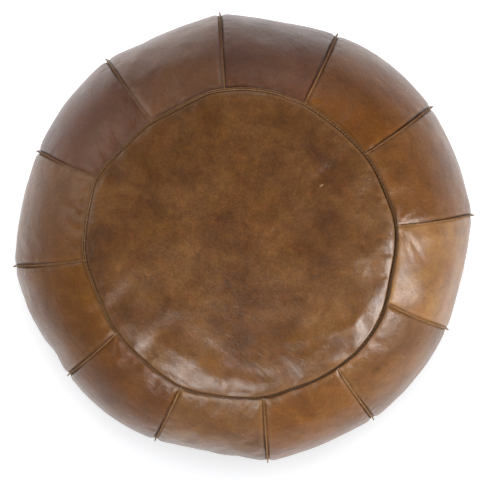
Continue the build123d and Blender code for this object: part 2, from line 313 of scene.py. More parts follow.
def simulate():
    parts, faces, pins, start = [], [], [], 0
    for i in range(NS):
        P = body(i, SIM_TIMES, SIM_ACROSS)
        N = grid_normals(P)
        # a little unevenness to start the folds, and some slack cloth near the ring
        wob = noise3(P, 34, 2.0 + i) * 0.9 + noise3(P, 16, 5.0 + i) * 0.35
        ends = smooth(np.minimum(SIM_ACROSS, 1 - SIM_ACROSS) / 0.12)[None, :] * smooth(
            np.minimum(np.arange(SIM_T), np.arange(SIM_T)[::-1]) / 5.0)[:, None]
        P = P + N * (wob * ends)[..., None]
        edge = np.zeros((SIM_T, SIM_A), bool)
        edge[0] = edge[-1] = True
        edge[:, 0] = edge[:, -1] = True
        parts.append(P.reshape(-1, 3))
        faces.append(grid_faces(SIM_T, SIM_A, start))
        pins += list(start + np.nonzero(edge.ravel())[0])
        start += SIM_T * SIM_A
    g = np.linspace(-1, 1, SIM_D)
    U, V = np.meshgrid(g, g, indexing="xy")
    P = disc_point(U, V)
    rim = np.maximum(np.abs(U), np.abs(V)) > 0.999
    P[..., 2] += np.where(rim, 0, noise3(P, 42, 40.0) * 1.0 + noise3(P, 20, 41.0) * 0.35)
    parts.append(P.reshape(-1, 3))
    faces.append(grid_faces(SIM_D, SIM_D, start))
    pins += list(start + np.nonzero(rim.ravel())[0])
    before = np.concatenate(parts)
    me = make_mesh("tension", before, np.concatenate(faces))
    ob = bpy.data.objects.new("tension", me)
    SCENE.collection.objects.link(ob)
    group = ob.vertex_groups.new(name="seams")
    group.add([int(p) for p in pins], 1.0, "REPLACE")
    mod = ob.modifiers.new("cloth", "CLOTH")
    cs = mod.settings
    cs.quality = 6
    cs.mass = 0.4
    cs.air_damping = 6.0
    cs.tension_stiffness = 60.0
    cs.compression_stiffness = 60.0
    cs.shear_stiffness = 25.0
    cs.bending_stiffness = 3.0
    cs.tension_damping = 10.0
    cs.compression_damping = 10.0
    cs.shear_damping = 10.0
    cs.bending_damping = 2.0
    cs.use_pressure = True
    cs.uniform_pressure_force = 4.0
    cs.shrink_min = -0.012
    cs.shrink_max = -0.012
    cs.vertex_group_mass = "seams"
    cs.effector_weights.gravity = 0.0
    mod.collision_settings.use_collision = False
    mod.collision_settings.use_self_collision = False
    mod.point_cache.frame_start = 1
    mod.point_cache.frame_end = 20
    for f in range(1, 21):
        SCENE.frame_set(f)
    dg = bpy.context.evaluated_depsgraph_get()
    ev = ob.evaluated_get(dg).to_mesh()
    co = np.zeros(len(ev.vertices) * 3, np.float32)
    ev.vertices.foreach_get("co", co)
    after = co.reshape(-1, 3).astype(float) * 1000
    ob.evaluated_get(dg).to_mesh_clear()
    bpy.data.objects.remove(ob)
    bpy.data.meshes.remove(me)
    SCENE.frame_set(1)
    move = after - before
    far = np.linalg.norm(move, axis=1, keepdims=True)
    move *= np.minimum(1.0, 9.0 / np.maximum(far, 1e-6))
    print("cloth moved, mean and most, mm:", round(float(far.mean()), 2), round(float(far.max()), 2))
    move[~np.isfinite(move)] = 0
    # only the folds are kept: the broad swelling is already in the gores' shape
    k, gores = 0, []
    for i in range(NS):
        D = (after - np.concatenate(parts))[k:k + SIM_T * SIM_A] * 0 + move[k:k + SIM_T * SIM_A]
        gores.append(D.reshape(SIM_T, SIM_A, 3))
        k += SIM_T * SIM_A
    disc = move[k:].reshape(SIM_D, SIM_D, 3)
    return gores, disc


def blur(D, times):
    for _ in range(times):
        E = D.copy()
        E[1:-1] = (D[:-2] + 2 * D[1:-1] + D[2:]) / 4
        D = E.copy()
        D[:, 1:-1] = (E[:, :-2] + 2 * E[:, 1:-1] + E[:, 2:]) / 4
    return D


def cubic_axis(D, x, axis):
    """Catmull-Rom reading of a grid along one axis at places x in 0..1."""
    n = D.shape[axis]
    q = np.clip(x, 0, 1) * (n - 1)
    k = np.minimum(np.floor(q).astype(int), n - 2)
    f = (q - k).reshape([-1 if a == axis else 1 for a in range(D.ndim)])

    def pick(o):
        return np.take(D, np.clip(k + o, 0, n - 1), axis=axis)
    p0, p1, p2, p3 = pick(-1), pick(0), pick(1), pick(2)
    return p1 + 0.5 * f * (p2 - p0 + f * (2 * p0 - 5 * p1 + 4 * p2 - p3 + f * (3 * (p1 - p2) + p3 - p0)))


SIM_GORES, SIM_DISC = simulate()
KEEP_BROAD = 0.15
SIM_GORES = [D - (1 - KEEP_BROAD) * blur(D, 26) for D in SIM_GORES]
SIM_DISC = SIM_DISC - (1 - KEEP_BROAD) * blur(SIM_DISC, 40)

# ---------------------------------------------------------------------------
# materials
# ---------------------------------------------------------------------------


class Nodes:
    def __init__(self, name):
        self.mat = bpy.data.materials.new(name)
        self.mat.use_nodes = True
        self.t = self.mat.node_tree
        self.t.nodes.clear()
        self.out = self.t.nodes.new("ShaderNodeOutputMaterial")
        self.bsdf = self.t.nodes.new("ShaderNodeBsdfPrincipled")
        self.link(self.bsdf.outputs[0], self.out.inputs[0])

    def link(self, a, b):
        self.t.links.new(a, b)

    def node(self, kind, **kw):
        n = self.t.nodes.new(kind)
        for k, v in kw.items():
            setattr(n, k, v)
        return n

    def coords(self, offset=(0, 0, 0), scale=(1, 1, 1), rot=(0, 0, 0)):
        tc = self.node("ShaderNodeTexCoord")
        m = self.node("ShaderNodeMapping")
        m.inputs["Location"].default_value = offset
        m.inputs["Scale"].default_value = scale
        m.inputs["Rotation"].default_value = rot
        self.link(tc.outputs["Object"], m.inputs["Vector"])
        return m.outputs[0]

    def noise(self, vec, scale, detail=4, rough=0.55, dist=0.0, lac=2.0):
        n = self.node("ShaderNodeTexNoise")
        n.inputs["Scale"].default_value = scale
        n.inputs["Detail"].default_value = detail
        n.inputs["Roughness"].default_value = rough
        n.inputs["Distortion"].default_value = dist
        n.inputs["Lacunarity"].default_value = lac
        self.link(vec, n.inputs["Vector"])
        return n.outputs["Fac"]

    def ramp(self, fac, stops, mode="LINEAR"):
        r = self.node("ShaderNodeValToRGB")
        r.color_ramp.interpolation = mode
        e = r.color_ramp.elements
        while len(e) > 1:
            e.remove(e[-1])
        e[0].position = stops[0][0]
        e[0].color = tuple(stops[0][1]) + (1,) if len(stops[0][1]) == 3 else stops[0][1]
        for p, c in stops[1:]:
            x = e.new(p)
            x.color = tuple(c) + (1,) if len(c) == 3 else c
        self.link(fac, r.inputs[0])
        return r.outputs[0]

    def mix(self, fac, a, b, blend="MIX"):
        n = self.node("ShaderNodeMix", data_type="RGBA", blend_type=blend)
        for sock, v in ((n.inputs[0], fac), (n.inputs[6], a), (n.inputs[7], b)):
            if hasattr(v, "default_value"):
                self.link(v, sock)
            elif isinstance(v, (int, float)):
                sock.default_value = v
            else:
                sock.default_value = tuple(v) + (1,) if len(v) == 3 else v
        return n.outputs[2]

    def math(self, op, a, b=0.0, clamp=False):
        n = self.node("ShaderNodeMath", operation=op, use_clamp=clamp)
        for sock, v in ((n.inputs[0], a), (n.inputs[1], b)):
            if hasattr(v, "default_value"):
                self.link(v, sock)
            else:
                sock.default_value = v
        return n.outputs[0]

    def attr(self, name):
        n = self.node("ShaderNodeAttribute", attribute_name=name)
        return n.outputs["Fac"]

    def bump(self, height, strength, distance, normal=None):
        n = self.node("ShaderNodeBump")
        n.inputs["Strength"].default_value = strength
        n.inputs["Distance"].default_value = distance
        self.link(height, n.inputs["Height"])
        if normal is not None:
            self.link(normal, n.inputs["Normal"])
        return n.outputs[0]


def lift(c, k):
    return tuple(min(1.0, v * k) for v in c)


def leather(name, seed, bright=1.0, red=1.0, ochre=1.0, tint=(1.0, 1.0, 1.0), marks=(), mottle=1.0, spec=0.30):
    """Waxed, mottled pull-up leather: clouds of dark and light brown, ochre and reddish patches, fine grain,
    short scratches, paler bends and edges (partly a painted highlight), and painted shade from the shade attribute."""
    n = Nodes(name)
    off = (rnd("lx", seed) * 3, rnd("ly", seed) * 3, rnd("lz", seed) * 3)
    v = n.coords(off)
    cloud = n.noise(v, 13.0, 5, 0.6, 0.6)
    patch = n.noise(n.coords((off[1], off[2], off[0])), 26.0, 6, 0.62, 1.2)
    spot = n.noise(n.coords((off[2], off[0], off[1])), 62.0, 5, 0.6, 0.4)
    speck = n.noise(v, 420.0, 3, 0.6)
    dark = lift((0.094, 0.037, 0.0105), bright)
    mid = lift((0.140, 0.058, 0.0160), bright)
    light = lift((0.196, 0.089, 0.0260), bright)
    k = min(mottle, 1.0)
    dark = tuple(m + (c - m) * k for c, m in zip(dark, mid))
    light = tuple(m + (c - m) * k for c, m in zip(light, mid))
    base = n.ramp(cloud, [(0.34, dark), (0.50, mid), (0.68, light)])
    # ochre patches where the dye is thin
    ochre_c = (0.184 * bright, 0.088 * bright, 0.0165 * bright)
    f = n.ramp(patch, [(0.48, (0, 0, 0)), (0.72, (0.45 * ochre,) * 3)])
    base = n.mix(f, base, ochre_c)
    # reddish stains
    red_c = (0.165 * bright, 0.052 * bright, 0.0150 * bright)
    f = n.ramp(spot, [(0.52, (0, 0, 0)), (0.74, (0.40 * red,) * 3)])
    base = n.mix(f, base, red_c)
    # smoky dark mottling
    smoke = n.noise(n.coords((off[0] + 5, off[1], off[2])), 38.0, 7, 0.68, 0.3)
    f = n.ramp(smoke, [(0.34, (0.42 * k,) * 3), (0.52, (0, 0, 0))])
    base = n.mix(f, base, lift((0.078, 0.034, 0.015), bright))
    # fine speckle of the grain
    f = n.ramp(speck, [(0.35, (0.82, 0.82, 0.82)), (0.65, (1.14, 1.14, 1.14))])
    base = n.mix(1.0, base, f, "MULTIPLY")
    # handling marks of every size
    worn = n.noise(n.coords((off[2] + 9, off[1], off[0])), 34.0, 12, 0.80, 0.5)
    f = n.ramp(worn, [(0.34, (1 - 0.22 * mottle,) * 3), (0.66, (1 + 0.20 * mottle,) * 3)])
    base = n.mix(1.0, base, f, "MULTIPLY")
    # short pale scratches
    sc = n.coords(off, (1, 1, 1), (0.3, 0.5, 0.9))
    st = n.node("ShaderNodeMapping")
    st.inputs["Scale"].default_value = (14, 150, 60)
    n.link(sc, st.inputs["Vector"])
    scratch = n.noise(st.outputs[0], 1.0, 2, 0.5, 0.3)
    sfac = n.ramp(scratch, [(0.735, (0, 0, 0)), (0.775, (0.34, 0.34, 0.34))])
    base = n.mix(sfac, base, (0.27 * bright, 0.145 * bright, 0.062 * bright))
    # bends and edges where the wax has pulled back, and a painted highlight on the lit ridges of flanges, ring and
    # disc rim
    wear_and_highlight = n.attr("wear_and_highlight")
    wn = n.math("MULTIPLY", wear_and_highlight, n.ramp(n.noise(v, 95.0, 4, 0.6), [(0.3, (0.35,) * 3), (0.7, (1.0,) * 3)]))
    base = n.mix(wn, base, (0.25 * bright, 0.130 * bright, 0.050 * bright))
    # painted shade: the shade attribute darkens the base colour along the seams, at the flange feet, in the ring
    # groove and lower on the near side
    shade = n.attr("shade")
    base = n.mix(n.math("MULTIPLY", shade, 0.80, True), base, (0.030, 0.014, 0.007))
    base = n.mix(1.0, base, tint, "MULTIPLY")
    # single marks: (x, y, z, turn in degrees, half length, half width, strength), mm
    for mx, my, mz, turn, ln, wd, k in marks:
        m = n.node("ShaderNodeMapping", vector_type="TEXTURE")
        m.inputs["Location"].default_value = (mx * 0.001, my * 0.001, mz * 0.001)
        m.inputs["Rotation"].default_value = (0, 0, math.radians(turn))
        m.inputs["Scale"].default_value = (ln * 0.001, wd * 0.001, 0.02)
        n.link(n.coords(), m.inputs["Vector"])
        far = n.node("ShaderNodeVectorMath", operation="LENGTH")
        n.link(m.outputs[0], far.inputs[0])
        f = n.ramp(n.math("ADD", far.outputs["Value"], n.math("MULTIPLY", n.noise(v, 700.0, 3, 0.6), 0.5)), [(0.75, (k,) * 3), (1.25, (0, 0, 0))])
        base = n.mix(f, base, (0.36, 0.23, 0.13))
    n.link(base, n.bsdf.inputs["Base Color"])
    # gloss: waxed, uneven
    r0 = n.ramp(n.noise(v, 20.0, 5, 0.6, 0.4), [(0.3, (0.245,) * 3), (0.7, (0.345,) * 3)])
    r1 = n.ramp(n.noise(v, 210.0, 4, 0.65), [(0.3, (-0.05 + 0.1,) * 3), (0.7, (0.0,) * 3)])
    n.link(n.math("ADD", r0, r1, True), n.bsdf.inputs["Roughness"])
    n.bsdf.inputs["Specular IOR Level"].default_value = spec
    # relief: grain cells, soft creases, scratches
    vor = n.node("ShaderNodeTexVoronoi", feature="DISTANCE_TO_EDGE")
    vor.inputs["Scale"].default_value = 620.0
    wob = n.mix(0.012, v, n.node("ShaderNodeTexNoise").outputs["Color"])
    n.link(wob, vor.inputs["Vector"])
    cells = n.ramp(vor.outputs["Distance"], [(0.0, (0, 0, 0)), (0.16, (1, 1, 1))])
    b1 = n.bump(cells, 0.16, 0.0004)
    b2 = n.bump(n.noise(v, 240.0, 5, 0.6), 0.22, 0.0006, b1)
    crease = n.node("ShaderNodeMapping")
    crease.inputs["Scale"].default_value = (30, 75, 45)
    n.link(sc, crease.inputs["Vector"])
    b3 = n.bump(n.noise(crease.outputs[0], 1.0, 5, 0.6, 1.4), 0.30, 0.0018, b2)
    b4 = n.bump(scratch, 0.12, 0.0006, b3)
    n.link(b4, n.bsdf.inputs["Normal"])
    return n.mat


def cut_edge():
    """Raw cut edge: fibrous, darkened by handling and paler in places, and darker still by painted shade in the ring
    groove.
    """
    n = Nodes("leather_cut_edge")
    v = n.coords()
    c = n.ramp(n.noise(v, 160.0, 5, 0.7), [(0.32, (0.130, 0.062, 0.024)), (0.55, (0.190, 0.098, 0.038)), (0.78, (0.290, 0.165, 0.075))])
    # painted shade: the shade attribute darkens the cut edge, most in the ring groove's dark slit
    c = n.mix(n.math("MULTIPLY", n.attr("shade"), 0.9, True), c, (0.030, 0.014, 0.007))
    n.link(c, n.bsdf.inputs["Base Color"])
    n.bsdf.inputs["Roughness"].default_value = 0.85
    n.bsdf.inputs["Specular IOR Level"].default_value = 0.3
    n.link(n.bump(n.noise(v, 900.0, 4, 0.7), 0.6, 0.0005), n.bsdf.inputs["Normal"])
    return n.mat


def fibres(name, dark, light, scale=900.0, stretch=(1, 1, 1), rough=0.8, strength=0.5):
    """Thread, cotton or felt: fine fibres over a soft mottle."""
    n = Nodes(name)
    v = n.coords((0, 0, 0), stretch)
    c = n.ramp(n.noise(v, scale, 4, 0.65), [(0.3, dark), (0.7, light)])
    m = n.ramp(n.noise(n.coords(), 30.0, 4, 0.6), [(0.3, (0.85,) * 3), (0.7, (1.08,) * 3)])
    n.link(n.mix(1.0, c, m, "MULTIPLY"), n.bsdf.inputs["Base Color"])
    n.bsdf.inputs["Roughness"].default_value = rough
    n.bsdf.inputs["Sheen Weight"].default_value = 0.2
    n.link(n.bump(n.noise(v, scale * 1.3, 3, 0.6), strength, 0.0003), n.bsdf.inputs["Normal"])
    return n.mat


def woven(name, dark, light, pitch):
    """Plain weave on flat faces: crossed ribs of warp and weft."""
    n = Nodes(name)
    v = n.coords()
    ribs = []
    for axis, prof in (("X", "SIN"), ("Y", "SIN")):
        w = n.node("ShaderNodeTexWave", wave_type="BANDS", bands_direction=axis, wave_profile=prof)
        w.inputs["Scale"].default_value = 1.0 / pitch / 6.2832 * 6.2832 / 2
        w.inputs["Distortion"].default_value = 0.4
        w.inputs["Detail"].default_value = 2
        w.inputs["Detail Scale"].default_value = 2
        n.link(v, w.inputs["Vector"])
        ribs.append(w.outputs["Fac"])
    h = n.math("MULTIPLY", ribs[0], ribs[1])
    c = n.ramp(n.math("ADD", h, n.math("MULTIPLY", n.noise(v, 400.0, 4, 0.6), 0.4)), [(0.2, dark), (0.8, light)])
    n.link(c, n.bsdf.inputs["Base Color"])
    n.bsdf.inputs["Roughness"].default_value = 0.85
    n.bsdf.inputs["Sheen Weight"].default_value = 0.15
    n.link(n.bump(h, 0.6, pitch * 0.3), n.bsdf.inputs["Normal"])
    return n.mat


def metal(name, col, seed):
    """Tarnished brass: warm metal, darker and duller in patches."""
    n = Nodes(name)
    v = n.coords((seed, 0, 0))
    c = n.ramp(n.noise(v, 220.0, 6, 0.65), [(0.32, lift(col, 0.55)), (0.55, col), (0.75, lift(col, 1.15))])
    n.link(c, n.bsdf.inputs["Base Color"])
    n.bsdf.inputs["Metallic"].default_value = 1.0
    r = n.ramp(n.noise(v, 420.0, 5, 0.6), [(0.3, (0.26,) * 3), (0.7, (0.48,) * 3)])
    n.link(r, n.bsdf.inputs["Roughness"])
    n.link(n.bump(n.noise(v, 1500.0, 3, 0.6), 0.15, 0.0002), n.bsdf.inputs["Normal"])
    return n.mat


CUT = cut_edge()
THREAD = fibres("waxed_thread", (0.12, 0.060, 0.024), (0.27, 0.150, 0.062), 1400.0, (1, 1, 1), 0.62, 0.5)
COTTON = fibres("cotton_bag", (0.52, 0.48, 0.40), (0.74, 0.70, 0.62), 700.0)
STUFF = fibres("stuffing", (0.62, 0.59, 0.52), (0.88, 0.86, 0.80), 260.0, (1, 1, 1), 0.95, 0.9)
TAPE = woven("zip_tape_weave", (0.020, 0.012, 0.008), (0.075, 0.045, 0.028), 0.0009)
BRASS = metal("aged_brass", (0.52, 0.36, 0.15), 0.0)
BRASS_TOOTH = metal("aged_brass_teeth", (0.46, 0.32, 0.14), 3.0)

# how each gore's hide differs: brightness, redness, ochre patches, tint; the tints also carry painted light and shade
HIDES = [
    (1.02, 0.9, 0.9), (0.98, 1.0, 0.8), (0.92, 1.2, 0.5), (0.92, 1.2, 0.4), (0.94, 1.1, 0.5), (0.98, 0.9, 0.7),
    (0.92, 0.8, 0.6), (0.96, 1.0, 0.6), (1.00, 1.2, 0.5), (1.10, 0.9, 0.8), (1.04, 1.1, 0.8), (1.16, 0.7, 1.4)]
# tints matched to each gore's measured colour: partly the hide's own colour, partly painted shade on the upper gores
# facing away from the lights and a painted highlight raising gore 12
TINTS = [
    (0.898, 0.831, 0.781),
    (0.950, 0.785, 0.500),
    (0.770, 0.653, 0.980),
    (0.972, 0.992, 1.620),
    (0.722, 0.545, 0.555),
    (0.950, 0.889, 0.754),
    (0.887, 0.778, 0.491),
    (0.755, 0.622, 0.405),
    (0.842, 0.885, 1.010),
    (0.773, 0.722, 0.670),
    (0.818, 0.838, 0.935),
    (1.149, 1.272, 1.547),
]
MOTTLE = [0.65, 0.6, 0.4, 0.35, 0.4, 0.6, 0.55, 0.7, 0.8, 0.65, 0.8, 0.8]
SPEC = [0.30] * 8 + [0.24, 0.24, 0.24, 0.30]
NICKS = {4: (2.4, 1.5, 0.75), 7: (2.6, 1.6, 0.8), 8: (3.2, 1.4, 0.85), 9: (2.0, 1.2, 0.6), 1: (3.0, 1.2, 0.6)}


def nicks(*seams):
    """Small raw spots where the seams of NICKS meet the ring."""
    out = []
    for j in seams:
        if j in NICKS:
            a = math.radians(SEAMS[j][1])
            ln, wd, k = NICKS[j]
            out.append((191.5 * math.cos(a), 191.5 * math.sin(a), 346.0, SEAMS[j][1] + 90 * (j % 2), ln, wd, k))
    return out


MARK = (96.0, 75.0, 357.0, 35.0, 4.5, 1.1, 0.75)
GORE_MATS = [leather("leather_gore_%02d" % (i + 1), 10 + i, *HIDES[i], TINTS[i], nicks(i, (i + 1) % NS), MOTTLE[i], SPEC[i]) for i in range(NS)]
TOP_TINT = (0.806, 0.788, 0.853)
TOP_MAT = leather("leather_top", 31, 0.88, 1.1, 1.1, TOP_TINT, [MARK] + nicks(4, 7, 8, 9), 1.25, 0.40)
BASE_MATS = [leather("leather_base_front", 51, 0.92), leather("leather_base_back", 52, 0.95)]

# ---------------------------------------------------------------------------
# helpers that finish a piece
# ---------------------------------------------------------------------------


def finish_piece(name, me, mats, cad, body_name, attrs=None, sharp=None):
    for m in mats:
        me.materials.append(m)
    me.polygons.foreach_set("use_smooth", [True] * len(me.polygons))
    if sharp is not None:
        me.set_sharp_from_angle(angle=math.radians(sharp))
    for k, vals in (attrs or {}).items():
        a = me.attributes.new(k, "FLOAT", "POINT")
        a.data.foreach_set("value", np.asarray(vals, np.float32))
    ob = bpy.data.objects.new(name, me)
    SCENE.collection.objects.link(ob)
    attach(ob, body_name)
    if cad:
        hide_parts(*cad)
    return ob


def shell(outer, inner):
    """Closed skin from two grids of the same size; returns points, faces and
    which faces are the rim."""
    R, C, _ = outer.shape
    n = R * C
    fo = grid_faces(R, C)
    fi = grid_faces(R, C, n)[:, ::-1]
    loop = [(0, c) for c in range(C)] + [(r, C - 1) for r in range(1, R)]
    loop += [(R - 1, c) for c in range(C - 2, -1, -1)] + [(r, 0) for r in range(R - 2, 0, -1)]
    ids = [r * C + c for r, c in loop]
    rim = [(ids[(k + 1) % len(ids)], ids[k], ids[k] + n, ids[(k + 1) % len(ids)] + n) for k in range(len(ids))]
    verts = np.concatenate([outer.reshape(-1, 3), inner.reshape(-1, 3)])
    return verts, np.concatenate([fo, fi, np.array(rim)]), len(fo) + len(fi)


def capsules(paths, radius, sides=6):
    """Short thread stitches; each path is (3 or more points) and dips at its ends."""
    verts, faces = [], []
    base = 0
    ang = np.arange(sides) * 2 * math.pi / sides
    for P, nrm in paths:
        m = len(P)
        tan = unit(np.gradient(P, axis=0))
        a = unit(np.cross(tan, nrm))
        b = np.cross(tan, a)
        t = np.linspace(-1, 1, m)
        rr = radius * np.sqrt(np.clip(1 - np.abs(t) ** 4, 0.0, 1)) + 0.02
        ring = P[:, None] + (a[:, None] * np.cos(ang)[None, :, None] + b[:, None] * np.sin(ang)[None, :, None]) * rr[:, None, None]
        verts.append(ring.reshape(-1, 3))
        for r in range(m - 1):
            for k in range(sides):
                k2 = (k + 1) % sides
                faces.append((base + r * sides + k, base + r * sides + k2, base + (r + 1) * sides + k2, base + (r + 1) * sides + k))
        faces.append(tuple(base + k for k in range(sides))[::-1])
        faces.append(tuple(base + (m - 1) * sides + k for k in range(sides)))
        base += m * sides
    return np.concatenate(verts), faces


def mesh_any(name, verts, faces):
    me = bpy.data.meshes.new(name)
    me.from_pydata((np.asarray(verts) * 0.001).tolist(), [], [tuple(int(v) for v in f) for f in faces])
    me.update()
    return me


# ---------------------------------------------------------------------------
# standing seams: shared lines, so that both gores' plies lie together
# ---------------------------------------------------------------------------


def meridian_normal(j, T):
    """Outward direction of seam j in its own plane at T."""
    rows = S[j].rows()
    d = 5 * (bern(4, T) @ np.diff(rows, axis=0))
    n = np.stack([d[:, 1], -d[:, 0]], -1)
    n = n / np.linalg.norm(n, axis=1, keepdims=True)
    return S[j].u3 * n[:, :1] + np.array([0, 0, 1.0]) * n[:, 1:]


def seam_height(j, s):
    """Height of the raw edge over the stitch line, along the length s."""
    h = SEAM_AT_RING[j] + (5.3 - SEAM_AT_RING[j]) * smooth((LENGTH - s - 12) / 130.0) + 0.35 * noise1(s, 46, 3 + j) + 0.2 * noise1(s, 9, 60 + j)
    top = smooth((LENGTH - s) / 16.0)
    low = smooth(s / 22.0)
    return (h * (0.8 + 0.2 * top)) * low + 0.8 * (1 - low)


def seam_lean(j, s):
    """Sideways lean of the raw edge (to the left of the seam plane), mm."""
    a = 0.6 * noise1(s, 70, 7 + j) + 0.25 * noise1(s, 18, 80 + j)
    a += 0.7 * LEAN_AT_RING[j] * smooth(1 - (LENGTH - s) / 70.0)
    a = a * (1 - 0.65 * smooth((LENGTH - s - 70) / 50))
    return a * smooth((LENGTH - s + 2) / 14.0) * smooth(s / 25.0)


def seam_splay(j, s):
    """How far each ply's edge stands off the other."""
    return np.clip(0.06 + 0.16 * noise1(s, 24, 30 + j), 0, 0.35) * smooth((LENGTH - s) / 12.0) * smooth(s / 20.0)


SEAM_AT_RING = [1.5, 2.3, 1.3, 1.7, 1.4, 1.3, 1.3, 2.0, 1.8, 1.8, 2.0, 1.9]
LEAN_AT_RING = [-0.6, -2.2, 1.0, -0.5, 1.2, -0.8, 0.6, 1.5, -1.2, 1.0, -1.4, 1.2]


def ring_height(phi):
    s = phi * RING_R
    circ = noise3(np.stack([190 * np.cos(phi), 190 * np.sin(phi), 0 * phi], -1), 40, 70)
    return 1.5 + 0.3 * circ + 2.4 * toward(phi, 15, 6) + 0.7 * toward(phi, 150, 2) - 1.0 * toward(phi, -50, 3)


def ring_lean(phi):
    circ = noise3(np.stack([190 * np.cos(phi), 190 * np.sin(phi), 0 * phi], -1), 55, 71)
    return 0.35 * circ + 1.3 * toward(phi, 25, 3)


def rim_rise_gore(phi):
    return 1.0 + 2.0 * toward(phi, -45, 2)


def rim_rise_disc(phi):
    return 1.4 + 4.6 * toward(phi, -80, 2)


# rows and columns of the fine grids
def steps(total, fine, step):
    f = np.array(fine)
    mid = np.arange(f[-1] + step, total - f[-1] - step / 2, step)
    mid = np.linspace(f[-1], total - f[-1], max(3, len(mid) + 2))[1:-1]
    return np.concatenate([f, mid, (total - f)[::-1]])


FINE = [0, 0.35, 0.8, 1.4, 2.2, 3.2, 4.6, 6.5, 9.0, 12.0]
ROWS_S = steps(LENGTH, FINE, 3.4)
ROWS_T = t_at(ROWS_S)
COLS = steps(140.0, FINE, 3.6) / 140.0
FLAP = np.array([1.0, 0.82, 0.6, 0.38, 0.18])
TOP_LEG = np.array([0.12, 0.3, 0.52, 0.76, 1.0])
LOW_LEG = np.array([4.6, 3.4, 2.2, 1.1, 0.4])


def creases(i, s, dt, A, W):
    """Folds that run out from the corners of a few gores: (corner side, reach
    along the ring seam, reach down the gore, depth, width)."""
    out = np.zeros((len(s), len(A)))
    x = A[None, :] * W[:, None]
    y = np.repeat(dt[:, None], len(A), 1)
    for side, x0, y0, x1, y1, depth, width in CREASES.get(i, []):
        ax, ay = (x0, y0) if side > 0 else (W[-1] - x0, y0)
        bx, by = (x1, y1) if side > 0 else (W[-1] - x1, y1)
        dx, dy = bx - ax, by - ay
        L2 = dx * dx + dy * dy
        k = np.clip(((x - ax) * dx + (y - ay) * dy) / L2, 0, 1)
        off = ((x - ax) * dy - (y - ay) * dx) / math.sqrt(L2)
        d = np.hypot(x - ax - k * dx, y - ay - k * dy)
        env = smooth(1 - k * 0.999) ** 0.6 * smooth(k / 0.08 + 0.3)
        out += -depth * np.exp(-(d / width) ** 2) * env
        out += 0.8 * depth * np.exp(-((off - 1.9 * width) / (1.3 * width)) ** 2) * env * np.exp(-(np.maximum(d - 3 * width, 0) / width) ** 2)
    return out


CREASES = {
    0: [(1, 3, 3, 30, 14, 0.7, 2.2), (1, 2, 6, 18, 40, 0.5, 2.5)],
    1: [(1, 3, 4, 36, 12, 1.0, 2.4), (-1, 4, 3, 20, 26, 0.5, 2.4)],
    2: [(-1, 3, 4, 22, 34, 0.8, 2.6)],
    3: [(1, 3, 3, 26, 16, 0.6, 2.4), (-1, 3, 4, 12, 40, 0.5, 2.4)],
    5: [(-1, 4, 4, 20, 24, 0.6, 2.4)],
    7: [(1, 4, 4, 24, 24, 0.5, 2.6)],
    8: [(-1, 3, 4, 12, 46, 0.9, 2.6), (-1, 9, 4, 24, 50, 0.7, 3.0)],
    9: [(1, 3, 5, 8, 40, 0.5, 2.4)],
    11: [(-1, 3, 3, 40, 26, 1.2, 2.8), (-1, 3, 8, 36, 56, 0.7, 4.0)],
}
# how much of the simulated folding each gore keeps
SIM_SHARE = [0.35, 0.45, 0.5, 0.5, 0.5, 0.5, 0.55, 0.6, 0.65, 0.6, 0.45, 0.18]
# broad hollows and swells: (gore, across, length share, depth, width across, width along)
SWELLS = {
    6: [(0.80, 0.50, -3.2, 0.10, 0.20), (0.35, 0.5, 1.0, 0.2, 0.3)],
    11: [(0.25, 0.865, 3.0, 0.22, 0.07), (0.60, 0.85, -1.8, 0.13, 0.08), (0.84, 0.87, 1.6, 0.12, 0.05), (0.5, 0.70, -1.2, 0.3, 0.05)],
    8: [(0.4, 0.8, 1.2, 0.2, 0.08)],
    9: [(0.5, 0.72, 1.0, 0.25, 0.1)],
    2: [(0.5, 0.55, -1.5, 0.3, 0.2)],
}


